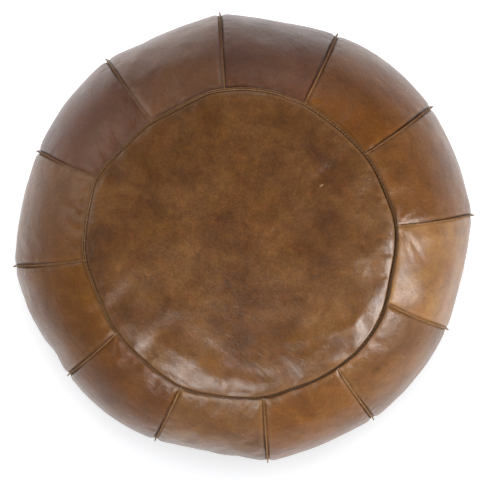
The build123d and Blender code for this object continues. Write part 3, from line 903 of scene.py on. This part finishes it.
def gore_grid(i):
    """Outer and inner grids of gore i with its flanges, its wear (partly a painted highlight) and its painted shade.
    """
    jl, jr = i, (i + 1) % NS
    P = body(i, ROWS_T, COLS)
    N = grid_normals(P)
    W = np.linalg.norm(P[:, -1] - P[:, 0], axis=1)
    s = ROWS_S
    dt, db = LENGTH - s, s
    dl = COLS[None, :] * W[:, None]
    dr = (1 - COLS)[None, :] * W[:, None]
    dt2, db2 = dt[:, None], db[:, None]
    phi_ring = np.arctan2(P[-1, :, 1], P[-1, :, 0])
    # tension folds from the simulation
    D = cubic_axis(cubic_axis(SIM_GORES[i], ROWS_S / LENGTH, 0), COLS, 1)
    # the stuffing swells up steeply beside each seam
    amp = (1.5 + 0.6 * noise3(P, 60, 90.0)) * (0.15 + 0.85 * smooth((dt2 - 40) / 80))
    sidefall = (1 - np.exp(-dl / 1.9)) * (1 - np.exp(-dr / 1.9))
    endfall = (1 - np.exp(-dt2 / (2.8 - 1.2 * toward(phi_ring, -50, 2)[None, :]))) * (1 - np.exp(-db2 / 2.5))
    env = 0.35 + 0.65 * np.maximum(np.exp(-(dl / 26) ** 2), np.exp(-(dr / 26) ** 2))
    swell = amp * env * sidefall * endfall
    swell += (rim_rise_gore(phi_ring)[None, :] - 1.2) * np.exp(-(dt2 / 26) ** 2) * endfall * sidefall
    # puckers pulled in by the stitches
    puck = 0
    for d, j, seed in ((dl, jl, 110), (dr, jr, 150)):
        wave = noise3(np.stack([np.repeat(s[:, None], len(COLS), 1), d * 0.35, np.full_like(d, j * 31.0)], -1), 11, seed)
        puck = puck + 0.25 * wave * np.exp(-(d / 15) ** 1.4) * (1 - np.exp(-d / 2))
    arc = phi_ring * 190
    wave = noise3(np.stack([np.repeat(arc[None, :], len(s), 0), np.repeat(dt2 * 0.35, len(COLS), 1), np.full_like(dl, 3.0)], -1), 13, 190)
    puck = puck + 0.30 * wave * np.exp(-(dt2 / 17) ** 1.4) * (1 - np.exp(-dt2 / 2)) * sidefall
    soft = (0.9 * noise3(P, 74, 200 + i) + 0.35 * noise3(P, 27, 220 + i)) * sidefall * endfall
    fold = creases(i, s, dt, COLS, W) * endfall * sidefall
    for a0, v0, dep, wa, wv in SWELLS.get(i, []):
        fold = fold + dep * np.exp(-((COLS[None, :] - a0) / wa) ** 2 - ((s[:, None] / LENGTH - v0) / wv) ** 2) * smooth(dl / 12) * smooth(dr / 12)
    X = P + SIM_SHARE[i] * D + N * (swell + puck + soft + fold)[..., None]
    X[..., 2] = np.maximum(X[..., 2], P[..., 2].min())
    # the edge rolls in over the groove
    roll_in = 1.3 * toward(phi_ring, -55, 3)[None, :] * np.exp(-((dt2 - 2.6) / 2.2) ** 2) * sidefall
    X[..., 0] -= np.cos(phi_ring)[None, :] * roll_in
    X[..., 1] -= np.sin(phi_ring)[None, :] * roll_in
    Nx = grid_normals(X)
    inner_body = X - Nx * TH

    radial = np.stack([np.cos(phi_ring), np.sin(phi_ring), 0 * phi_ring], -1)
    Z = np.array([0, 0, 1.0])

    # legs: rows beyond the ring foot and before the base foot
    hr = ring_height(phi_ring)
    lean = ring_lean(phi_ring)
    off = 0.25 + 0.2 * noise3(P[-1], 30, 240)
    foot = X[-1]
    top = [foot + Z * (hr * q)[:, None] + radial * ((lean * q ** 1.5) + off * q ** 2 - skive(q))[:, None] for q in TOP_LEG]
    top_in = [r - radial * (TH - skive(q)) for r, q in zip(top, TOP_LEG)]
    low = [X[0] + radial * q + Z * (0.05 + 0.12 * q / 4.6 * (1 + noise3(X[0], 22, 250)))[:, None] for q in LOW_LEG]
    low_in = [np.concatenate([r[:, :2], np.maximum(r[:, 2:] - TH, 1.86)], 1) for r in low]
    inner_body[-1] = foot - radial * TH - Z * TH * 0.9
    inner_body[0] = X[0] - radial * 5.0 - Z * (LOW_Z - 1.9)
    inner_body[1] = inner_body[0] * 0.7 + inner_body[2] * 0.3
    main = np.concatenate([np.stack(low), X, np.stack(top)])
    main_in = np.concatenate([np.stack(low_in), inner_body, np.stack(top_in)])

    # flanges left and right
    R = main.shape[0]
    nb = len(ROWS_S)
    n_low, n_top = len(LOW_LEG), len(TOP_LEG)

    def flange(j, side, col):
        n = meridian_normal(j, ROWS_T)
        mit_t = unit(n[-1] + S[j].u3) * 1.15
        w = smooth(1 - (LENGTH - ROWS_S) / 9.0)[:, None]
        n = unit(n * (1 - w) + mit_t * w)
        wl = smooth(1 - ROWS_S / 8.0)[:, None]
        n = unit(n * (1 - wl) + (Z * 0.9 + S[j].u3 * 0.45) * wl)
        h = seam_height(j, ROWS_S)
        ragged = 0.22 * noise1(ROWS_S, 3.1, 300 + j * 2 + (side > 0))
        h = h + ragged * smooth(h / 3)
        lean_j, splay = seam_lean(j, ROWS_S), seam_splay(j, ROWS_S)
        cols, cols_in = [], []
        for q in FLAP:
            hq = h * q
            side_off = lean_j * q ** 1.5 + side * (splay * q ** 2 - skive(q))
            body_part = main[n_low:n_low + nb, col] + n * hq[:, None] + S[j].w3 * side_off[:, None]
            hl = 0.8 * q
            low_part = main[:n_low, col] + Z * hl
            ht = h[-1] * q
            top_part = main[n_low + nb:, col] + S[j].u3 * ht - S[j].w3 * side * skive(q)
            full = np.concatenate([low_part, body_part, top_part])
            cols.append(full)
            thick = np.concatenate([np.full(n_low, TH), np.full(nb, TH - skive(q)), np.full(n_top, TH - skive(q))])
            cols_in.append(full - S[j].w3 * side * thick[:, None])
        return cols, cols_in

    lc, lci = flange(jl, 1, 0)
    rc, rci = flange(jr, -1, -1)
    outer = np.stack(lc + [main[:, k] for k in range(main.shape[1])] + rc[::-1], 1)
    inner = np.stack(lci + [main_in[:, k] for k in range(main_in.shape[1])] + rci[::-1], 1)
    for c, j, side in ((len(lc), jl, 1), (outer.shape[1] - len(rc) - 1, jr, -1)):
        m = outer[:, c] - S[j].w3 * side * TH
        nn = np.concatenate([np.repeat(Z[None] * 0, n_low, 0), meridian_normal(j, ROWS_T), np.repeat(radial[0][None] * 0, n_top, 0)])
        inner[:, c] = m - nn * TH
        inner[:n_low, c] = low_in_fix(m[:n_low])
        inner[n_low + nb:, c] = m[n_low + nb:] - radial[0 if side > 0 else -1] * TH
    nf = len(FLAP)
    for c in list(range(nf)) + list(range(outer.shape[1] - nf, outer.shape[1])):
        pass

    # wear and painted highlight: pale on the shoulders beside seams and on raised edges (the flange and ring ridges
    # partly painted highlight); painted shade along the seams and in the ring groove's slit
    wear_and_highlight = np.zeros(outer.shape[:2])
    shade = np.zeros(outer.shape[:2])
    sl = slice(nf, outer.shape[1] - nf)
    rowsl = slice(n_low, n_low + nb)
    bump_band = lambda d, c0, w0: np.exp(-((d - c0) / w0) ** 2)
    wear_and_highlight[rowsl, sl] = np.clip(0.22 * bump_band(dl, 4.0, 2.4) + 0.22 * bump_band(dr, 4.0, 2.4) + 0.25 * bump_band(dt2, 4.5, 2.6), 0, 1)
    # slit_shade: where the ring groove gets painted shade, strongest toward -50 degrees
    slit_shade = toward(phi_ring, -50, 2)
    shade[rowsl, sl] = np.clip(0.10 * np.exp(-(dl / 1.0) ** 2) + 0.10 * np.exp(-(dr / 1.0) ** 2)
                               + (0.2 + 0.8 * slit_shade)[None, :] * np.exp(-(dt2 / (1.3 + 0.7 * slit_shade[None, :])) ** 2), 0, 1)
    for d, j in ((dl, jl), (dr, jr)):
        wear_and_highlight[rowsl, sl] += PALE.get(j, 0) * np.exp(-((d - 1) ** 2 + (dt2 - 2) ** 2) / 10.0)
    # painted shade: darker on the lower outer band of the near-side gores
    phi_all = np.arctan2(P[..., 1], P[..., 0])
    shade[rowsl, sl] = np.clip(shade[rowsl, sl] + 0.36 * toward(phi_all, -60, 2) * smooth((dt2 - 70) / 60), 0, 1)
    # flanges: paler toward the raw edge, partly a painted highlight on the lit ridge; painted shade at the foot
    for k, q in enumerate(FLAP):
        for c in (k, outer.shape[1] - 1 - k):
            wear_and_highlight[:, c] = 0.15 + 0.4 * q
            shade[:, c] = 0.06 * (1 - q)
    # ring ridge: pale, partly a painted highlight, except in the slit, which gets painted shade
    for k, q in enumerate(TOP_LEG):
        wear_and_highlight[n_low + nb + k, nf:-nf] = (0.1 + 0.4 * q) * (1 - slit_shade)
        shade[n_low + nb + k, nf:-nf] = 0.1 * (1 - q) + 0.95 * slit_shade
    return outer, inner, wear_and_highlight, shade


def low_in_fix(m):
    m = m.copy()
    m[:, 2] = np.maximum(m[:, 2] - TH, 1.86)
    return m


# junctions where the wax has worn to raw hide
PALE = {1: 0.7, 4: 0.8, 7: 0.8, 8: 0.9, 9: 0.6, 10: 0.5}
GRIDS = []
for i in range(NS):
    outer, inner, wear_and_highlight, shade = gore_grid(i)
    GRIDS.append(outer)
    verts, faces, rim_from = shell(outer, inner)
    me = make_mesh("side_panel_%02d_hide" % (i + 1), verts, faces)
    me.polygons.foreach_set("material_index", [0] * rim_from + [1] * (len(faces) - rim_from))
    ob = finish_piece(
        "side_panel_%02d_hide" % (i + 1), me, [GORE_MATS[i], CUT], ["side_panel_%02d" % (i + 1)], "pouf",
        {"wear_and_highlight": np.concatenate([wear_and_highlight.ravel(), wear_and_highlight.ravel()]), "shade": np.concatenate([shade.ravel(), shade.ravel()])}, 50)

# ---------------------------------------------------------------------------
# top panel
# ---------------------------------------------------------------------------


def disc_sim(x, y):
    """The simulated folds of the top at (x, y)."""
    phi = np.arctan2(y, x)
    rad = np.hypot(x, y) / (188.15 + angle_table(RING_STRAY, phi) * smooth(np.hypot(x, y) / 188.15) ** 2)
    px, py = rad * np.cos(phi), rad * np.sin(phi)
    px, py = np.clip(px, -1, 1), np.clip(py, -1, 1)
    # back from the disc to the square
    a = 2 + px * px - py * py
    b = 2 - px * px + py * py
    r8 = 2 * math.sqrt(2)
    u = 0.5 * (np.sqrt(np.maximum(a + r8 * px, 0)) - np.sqrt(np.maximum(a - r8 * px, 0)))
    v = 0.5 * (np.sqrt(np.maximum(b + r8 * py, 0)) - np.sqrt(np.maximum(b - r8 * py, 0)))
    n = SIM_D
    qx = np.clip((u + 1) / 2 * (n - 1), 0, n - 1.001)
    qy = np.clip((v + 1) / 2 * (n - 1), 0, n - 1.001)
    kx, ky = np.floor(qx).astype(int), np.floor(qy).astype(int)
    fx, fy = qx - kx, qy - ky

    def w4(f):
        return [(-0.5 * f + f * f - 0.5 * f ** 3), (1 - 2.5 * f * f + 1.5 * f ** 3), (0.5 * f + 2 * f * f - 1.5 * f ** 3), (-0.5 * f * f + 0.5 * f ** 3)]
    wx, wy = w4(fx), w4(fy)
    out = 0
    for j in range(4):
        for k in range(4):
            out = out + SIM_DISC[np.clip(ky + j - 1, 0, n - 1), np.clip(kx + k - 1, 0, n - 1)] * (wy[j] * wx[k])[..., None]
    return out


DISC_FOLDS = [
    # (x0, y0, x1, y1, depth, width): soft folds of the top, mm
    (60, -118, 138, -98, 1.3, 9), (76, -138, 150, -82, 0.9, 6), (-96, -118, -40, -158, 1.0, 9), (-70, -100, -20, -140, -0.8, 12),
    (-20, -150, 40, -162, -1.0, 9), (-120, 60, -96, 110, -0.8, 12), (20, 120, 90, 118, 0.7, 12), (120, 0, 150, -60, 1.0, 14),
    (-30, 30, 40, -30, 0.8, 26), (-80, -40, -60, 30, -0.9, 24), (40, 60, 70, 20, -0.8, 22),
]


def disc_height(x, y):
    p = np.stack([x, y, 0 * x], -1)
    z = 1.0 * noise3(p, 78, 400) + 0.45 * noise3(p, 33, 401) + 0.12 * noise3(p, 13, 402)
    for x0, y0, x1, y1, dep, wid in DISC_FOLDS:
        dx, dy = x1 - x0, y1 - y0
        k = np.clip(((x - x0) * dx + (y - y0) * dy) / (dx * dx + dy * dy), 0, 1)
        d = np.hypot(x - x0 - k * dx, y - y0 - k * dy)
        z = z + dep * np.exp(-(d / wid) ** 2)
    return z


NPHI = 600
phis = np.arange(NPHI) * 2 * math.pi / NPHI
rim_d = np.array([0, 0.3, 0.7, 1.2, 1.9, 2.8, 4.0, 5.6, 7.8, 10.5])
rads = np.concatenate([[3.0, 7.0, 11.0], np.arange(14.0, 175.0, 2.6), (188.15 - rim_d)[::-1]])
rr, pp = np.meshgrid(rads, phis, indexing="ij")
stray = angle_table(RING_STRAY, pp) * smooth((rr - 110) / 78.15)
x, y = (rr + stray) * np.cos(pp), (rr + stray) * np.sin(pp)
dd = 188.15 - rr
roll = 2.8 + 8.0 * toward(pp, -105, 3)
fall = 1 - np.exp(-dd / roll)
z = dome_z(rr) + disc_height(x, y) * smooth(dd / 26) + (rim_rise_disc(pp) + 0.5 * noise3(np.stack([x, y, 0 * x], -1), 42, 405)) * fall * np.exp(-(dd / 62) ** 2)
wave = noise3(np.stack([190 * np.cos(pp), 190 * np.sin(pp), dd * 0.35], -1), 12, 410)
z = z + 0.40 * wave * np.exp(-(dd / 16) ** 1.4) * (1 - np.exp(-dd / 2))
# the leather rolls over a little towards the groove
bulge_out = (0.4 + 1.5 * toward(pp, -65, 3)) * np.exp(-((dd - 2.4) / 2.1) ** 2)
disc = np.stack([x + np.cos(pp) * bulge_out, y + np.sin(pp) * bulge_out, z], -1) + 0.55 * disc_sim(x, y) * smooth(dd / 6)[..., None]
radial = np.stack([np.cos(phis), np.sin(phis), 0 * phis], -1)
hr, lean = ring_height(phis), ring_lean(phis)
off = 0.25 + 0.2 * noise3(disc[-1], 30, 241)
ragged = 0.18 * noise3(disc[-1] * 1.0, 3.2, 242)
legs = []
for q in TOP_LEG:
    leg = disc[-1] + np.array([0, 0, 1.0]) * ((hr + ragged) * q)[:, None] + radial * (lean * q ** 1.5 - off * q ** 2 + skive(q))[:, None]
    legs.append(leg)
outer = np.concatenate([disc, np.stack(legs)])
du = np.roll(outer, -1, 1) - np.roll(outer, 1, 1)
dv = np.gradient(outer, axis=0)
Nn = unit(np.cross(dv, du))
inner = outer - Nn * TH
inner[len(disc) - 1] = disc[-1] + radial * TH * 0.95 - np.array([0, 0, TH])
for k in range(len(TOP_LEG)):
    inner[len(disc) + k] = legs[k] + radial * (TH - 0.02 - skive(TOP_LEG[k]))
R, C = outer.shape[:2]
verts = np.concatenate([outer.reshape(-1, 3), inner.reshape(-1, 3)])
r, c = np.meshgrid(np.arange(R - 1), np.arange(C), indexing="ij")
a = r * C + c
b = r * C + (c + 1) % C
fo = np.stack([a, a + C, b + C, b], -1).reshape(-1, 4)
fi = (fo + R * C)[:, ::-1]
ids = np.arange(C)
last = (R - 1) * C
rim = np.stack([last + ids, last + ids + R * C, last + (ids + 1) % C + R * C, last + (ids + 1) % C], -1)
verts = np.concatenate([verts, [[0, 0, disc[0, :, 2].mean() + 0.02], [0, 0, disc[0, :, 2].mean() - TH]]])
cap = [(2 * R * C, int(k), int((k + 1) % C)) for k in ids]
cap2 = [(2 * R * C + 1, int((k + 1) % C + R * C), int(k + R * C)) for k in ids]
faces = [tuple(f) for f in fo] + [tuple(f) for f in fi] + cap + cap2 + [tuple(f) for f in rim]
me = mesh_any("top_panel_hide", verts, faces)
me.polygons.foreach_set("material_index", [0] * (len(faces) - len(rim)) + [1] * len(rim))
wear_and_highlight = np.zeros((R, C))
shade = np.zeros((R, C))
nd = len(disc)
# pale band on the rim fold: wear, and a painted highlight strongest toward 25 degrees
wear_and_highlight[:nd] = (0.35 + 0.5 * toward(pp, 25, 4)) * np.exp(-((dd - 2.4) / 1.6) ** 2)
# painted shade in the ring groove at the rim, strongest in the slit toward -50 degrees
slit_shade = toward(pp, -50, 2)
shade[:nd] = (0.2 + 0.8 * slit_shade) * np.exp(-(dd / (1.2 + 0.5 * slit_shade)) ** 2)
slit_shade = toward(phis, -50, 2)
# ring ridge: pale, partly a painted highlight, except in the slit, which gets painted shade
for k, q in enumerate(TOP_LEG):
    wear_and_highlight[nd + k] = (0.15 + 0.5 * q) * (1 - slit_shade)
    shade[nd + k] = 0.1 * (1 - q) + 0.95 * slit_shade
top_ob = finish_piece("top_panel_hide", me, [TOP_MAT, CUT], ["top_panel"], "pouf",
                      {"wear_and_highlight": np.concatenate([wear_and_highlight.ravel(), wear_and_highlight.ravel(), [0, 0]]), "shade": np.concatenate([shade.ravel(), shade.ravel(), [0, 0]])}, 50)
TOP_FOOT, TOP_HR, TOP_LEAN = disc[-1].copy(), hr.copy(), lean.copy()

# ---------------------------------------------------------------------------
# base halves: flat on the floor, drawn up round the zip, hem folded double
# ---------------------------------------------------------------------------


def base_lift(x, y):
    ax = np.clip((182.0 - np.abs(x)) / 12.0, 0, 1)
    ay = np.clip((34.0 - np.abs(y)) / 12.0, 0, 1)
    return 5.0 * smooth(ax) * smooth(ay)


def base_half(side, name, cad, mat):
    th = np.concatenate([np.linspace(-90, -50, 26)[:-1], np.degrees(np.arcsin(np.linspace(-150.2, 150.2, 150) / 195.9)), np.linspace(50, 90, 26)[1:]])
    xs = 195.9 * np.sin(np.radians(th))
    xs = np.unique(np.concatenate([xs, [-144.35, -143.9, 143.9, 144.35]]))
    xs[0] += 1e-3
    xs[-1] -= 1e-3
    y_in = np.where(np.abs(xs) < 144.1, 7.3, 0.06)
    y_out = np.maximum(np.sqrt(np.maximum(195.9 ** 2 - xs ** 2, 0)), y_in + 0.02)
    q = np.concatenate([[0, 0.4, 0.9, 1.6, 2.6, 4.0, 6.0, 8.5, 11.4, 11.9, 14, 17, 20, 23, 26, 29, 33, 38], np.linspace(44, 180, 42)]) / 188.7
    q = np.concatenate([q, [0.975, 0.99, 1.0]])
    Y = y_in[None, :] + (y_out - y_in)[None, :] * q[:, None]
    # past the slot's ends the rows keep the slot's spacing, then ease back
    e_slot = (y_out - 7.3)[None, :] * q[:, None]
    Y_end = np.where(e_slot < 11.4, 0.06 + 18.64 * e_slot / 11.4, 7.3 + e_slot)
    w_end = smooth((np.abs(xs) - 150.0) / 30.0)[None, :]
    Y = np.where(np.abs(xs)[None, :] < 144.1, Y, np.where(w_end < 1, (1 - w_end) * Y_end + w_end * Y, Y))
    X = np.repeat(xs[None, :], len(q), 0)
    lift_z = base_lift(X, Y)
    P = np.stack([X, Y * side, 0 * X], -1)
    soft = 0.10 * (1 + noise3(P, 40, 500 + side)) * smooth((190 - np.hypot(X, Y)) / 20)
    zb = lift_z + soft * (0.3 + 0.7 * (lift_z > 0.1))
    edge = Y - y_in[None, :]
    in_slot = (np.abs(X) < 144.1)
    hem = np.where(in_slot & (edge < 11.6), 3.55, 1.78)
    roll = np.where(in_slot, np.exp(-(edge / 0.5) ** 2), 0)
    zt = zb + hem - roll * 0.9
    zb = zb + roll * 0.7
    low = np.stack([X, Y * side, zb], -1)
    high = np.stack([X, Y * side, zt], -1)
    if side > 0:
        verts, faces, rim_from = shell(high, low)
    else:
        verts, faces, rim_from = shell(high[:, ::-1], low[:, ::-1])
    me = make_mesh(name, verts, faces)
    me.polygons.foreach_set("material_index", [0] * rim_from + [1] * (len(faces) - rim_from))
    e = edge if side > 0 else edge[:, ::-1]
    s = in_slot if side > 0 else in_slot[:, ::-1]
    wr = np.where(s, 0.5 * np.exp(-((e - 0.5) / 1.5) ** 2), 0) + 0.25
    return finish_piece(name, me, [mat, CUT], [cad], "pouf",
                        {"wear_and_highlight": np.concatenate([wr.ravel(), wr.ravel()]), "shade": np.zeros(2 * wr.size)}, 50)


base_half(-1, "base_panel_front_hide", "base_panel_front", BASE_MATS[0])
base_half(1, "base_panel_back_hide", "base_panel_back", BASE_MATS[1])

# ---------------------------------------------------------------------------
# stitches
# ---------------------------------------------------------------------------

PITCH, STITCH, RAD = 4.8, 3.5, 0.34
paths = []
sd = np.arange(26.0, LENGTH - 12.0, PITCH)
k5 = np.linspace(-0.5, 0.5, 5)
dip = np.array([-0.42, 0.02, 0.14, 0.02, -0.42])
for j in range(NS):
    for side in (1, -1):
        gi = j if side > 0 else (j - 1) % NS
        col = len(FLAP) if side > 0 else GRIDS[gi].shape[1] - len(FLAP) - 1
        foot = GRIDS[gi][len(LOW_LEG):len(LOW_LEG) + len(ROWS_S), col]
        n_all = meridian_normal(j, ROWS_T)
        for c0 in sd:
            ss = c0 + k5 * STITCH * (0.92 + 0.16 * rnd("st", j, side, round(c0)))
            T = t_at(ss)
            F = np.stack([np.interp(ss, ROWS_S, foot[:, a]) for a in range(3)], -1)
            nn = unit(np.stack([np.interp(ss, ROWS_S, n_all[:, a]) for a in range(3)], -1))
            h = seam_height(j, ss)
            hs = h * 0.42 + 0.25 * (rnd("h", j, side, round(c0)) - 0.5) * np.minimum(h / 4, 1)
            q = hs / h
            lat = seam_lean(j, ss) * q ** 1.5 + side * (seam_splay(j, ss) * q ** 2 - 0.46 - 0.26 * q)
            P = F + nn * hs[:, None] + S[j].w3 * (lat + side * (dip - 0.12))[:, None]
            paths.append((P, nn))
v, f = capsules(paths, RAD)
me = mesh_any("side_seam_stitches", v, f)
finish_piece("side_seam_stitches", me, [THREAD], ["side_seam_thread"], "pouf")

paths = []
count = int(2 * math.pi * 188 / PITCH)
for k in range(count):
    ph = (k + 0.5 + k5 * (STITCH / PITCH)) * 2 * math.pi / count
    F = np.stack([np.interp(ph, np.append(phis, 2 * math.pi), np.append(TOP_FOOT[:, a], TOP_FOOT[0, a])) for a in range(3)], -1)
    rad3 = np.stack([np.cos(ph), np.sin(ph), 0 * ph], -1)
    hh, ln = ring_height(ph), ring_lean(ph)
    q = 0.55
    P = F + np.array([0, 0, 1.0]) * (hh * q)[:, None] + rad3 * (ln * q ** 1.5 - 0.25 * q * q + skive(q) - (dip - 0.02))[:, None]
    paths.append((P, np.repeat([[0, 0, 1.0]], 5, 0)))
v, f = capsules(paths, RAD)
me = mesh_any("top_seam_stitches", v, f)
finish_piece("top_seam_stitches", me, [THREAD], ["top_seam_thread"], "pouf")

paths = []
for k in range(count):
    ph = (k + 0.5 + k5 * (STITCH / PITCH)) * 2 * math.pi / count
    mid = math.degrees(ph[2]) % 360
    if min(abs((mid - r[1] + 180) % 360 - 180) for r in SEAMS) < 1.0:
        continue
    P = np.stack([193.6 * np.cos(ph), 193.6 * np.sin(ph), 3.98 + dip], -1)
    paths.append((P, np.repeat([[0, 0, 1.0]], 5, 0)))
v, f = capsules(paths, RAD)
me = mesh_any("base_seam_stitches", v, f)
finish_piece("base_seam_stitches", me, [THREAD], ["base_seam_thread"], "pouf")

paths = []
for yy in (9.8, 15.8):
    for sgn in (1, -1):
        for x0 in np.arange(-139, 139.1, 3.6):
            xs = x0 + k5 * 2.7
            P = np.stack([xs, np.full(5, sgn * yy), 4.9 - dip], -1)
            paths.append((P, np.repeat([[0, 0, 1.0]], 5, 0)))
v, f = capsules(paths, 0.3)
me = mesh_any("zip_stitches", v, f)
finish_piece("zip_stitches", me, [THREAD], ["zip_stitching"], "pouf")

# ---------------------------------------------------------------------------
# carried-over CAD pieces get their materials
# ---------------------------------------------------------------------------

for node, mat in (
    ("zip_tape_front", TAPE), ("zip_tape_back", TAPE), ("zip_teeth_front", BRASS_TOOTH), ("zip_teeth_back", BRASS_TOOTH),
    ("zip_top_stops", BRASS), ("zip_end_stop", BRASS), ("zip_slider", BRASS), ("zip_pull", BRASS),
    ("liner_top", COTTON), ("liner_side", COTTON), ("liner_base", COTTON), ("filling", STUFF),
):
    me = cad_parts[node].data
    me.materials.clear()
    me.materials.append(mat)

# ---------------------------------------------------------------------------
# floor, light
# ---------------------------------------------------------------------------

n = Nodes("floor_paper")
c = n.ramp(n.noise(n.coords(), 3.0, 3), [(0.3, (0.90, 0.905, 0.915)), (0.7, (0.92, 0.925, 0.93))])
n.link(c, n.bsdf.inputs["Base Color"])
n.bsdf.inputs["Roughness"].default_value = 0.9
n.bsdf.inputs["Specular IOR Level"].default_value = 0.1
n.bsdf.inputs["Emission Color"].default_value = (0.97, 0.985, 1.0, 1)
n.bsdf.inputs["Emission Strength"].default_value = 0.34
me = bpy.data.meshes.new("floor")
sz = 14.0
me.from_pydata([(-sz, -sz, -0.0005), (sz, -sz, -0.0005), (sz, sz, -0.0005), (-sz, sz, -0.0005)], [], [(0, 1, 2, 3)])
me.materials.append(n.mat)
floor = bpy.data.objects.new("floor", me)
SCENE.collection.objects.link(floor)

world = bpy.data.worlds.new("studio")
SCENE.world = world
world.use_nodes = True
bg = world.node_tree.nodes["Background"]
wt = world.node_tree
wc = wt.nodes.new("ShaderNodeTexCoord")
wsep = wt.nodes.new("ShaderNodeSeparateXYZ")
wr = wt.nodes.new("ShaderNodeValToRGB")
wt.links.new(wc.outputs["Generated"], wsep.inputs[0])
wt.links.new(wsep.outputs["Z"], wr.inputs[0])
# pale walls, darker ceiling, palest to the left
wside = wt.nodes.new("ShaderNodeVectorMath")
wside.operation = "DOT_PRODUCT"
wside.inputs[1].default_value = (-0.95, 0.31, 0.0)
wt.links.new(wc.outputs["Generated"], wside.inputs[0])
wmap = wt.nodes.new("ShaderNodeMapRange")
wmap.inputs["From Min"].default_value = -0.8
wmap.inputs["From Max"].default_value = 0.8
wmap.inputs["To Min"].default_value = 0.42
wmap.inputs["To Max"].default_value = 1.12
wt.links.new(wside.outputs["Value"], wmap.inputs["Value"])
wt.links.new(wr.outputs[0], bg.inputs[0])
wt.links.new(wmap.outputs[0], bg.inputs[1])
we = wr.color_ramp.elements
we[0].position, we[0].color = 0.0, (0.34, 0.34, 0.34, 1)
we[1].position, we[1].color = 0.34, (0.26, 0.26, 0.26, 1)
for pos, k in ((0.60, 0.18), (0.82, 0.08), (1.0, 0.06)):
    x = we.new(pos)
    x.color = (k, k, k * 1.03, 1)


def area(name, at, to, size, power, col=(1, 1, 1), size_y=None):
    d = bpy.data.lights.new(name, "AREA")
    d.energy = power
    d.color = col
    d.size = size
    if size_y:
        d.shape = "RECTANGLE"
        d.size_y = size_y
    o = bpy.data.objects.new(name, d)
    SCENE.collection.objects.link(o)
    o.location = at
    o.rotation_euler = (Vector(to) - Vector(at)).to_track_quat("-Z", "Y").to_euler()
    return o


skip_floor = bpy.data.collections.new("all_but_floor")
skip_floor.objects.link(floor)
skip_floor.collection_objects[0].light_linking.link_state = "EXCLUDE"
only_floor = bpy.data.collections.new("only_floor")
only_floor.objects.link(floor)

right_light = area("window_right", (1.62, -0.70, 1.45), (0, 0, 0.3), 0.85, 62, (1.0, 0.98, 0.95), 0.65)
front_light = area("window_front", (-0.40, -1.50, 1.80), (0, 0, 0.3), 0.9, 36, (0.98, 0.99, 1.0), 0.5)
fill_light = area("fill_left", (-1.7, 0.9, 1.2), (0, 0, 0.2), 1.6, 20, (1.0, 0.92, 0.85), 1.2)
top_light = area("fill_far", (0.45, 2.0, 1.35), (0, 0, 0.2), 1.7, 11, (1.0, 0.93, 0.87), 1.0)
for o in (right_light, front_light, fill_light, top_light):
    o.light_linking.receiver_collection = skip_floor
floor_light = area("floor_light", (0.10, 0.60, 3.0), (0, 0, 0), 2.0, 118, (0.985, 0.99, 1.0), 2.0)
floor_light.light_linking.receiver_collection = only_floor

SCENE.view_settings.view_transform = "Standard"
SCENE.view_settings.look = "None"
SCENE.view_settings.exposure = 0.0
SCENE.view_settings.gamma = 1.0
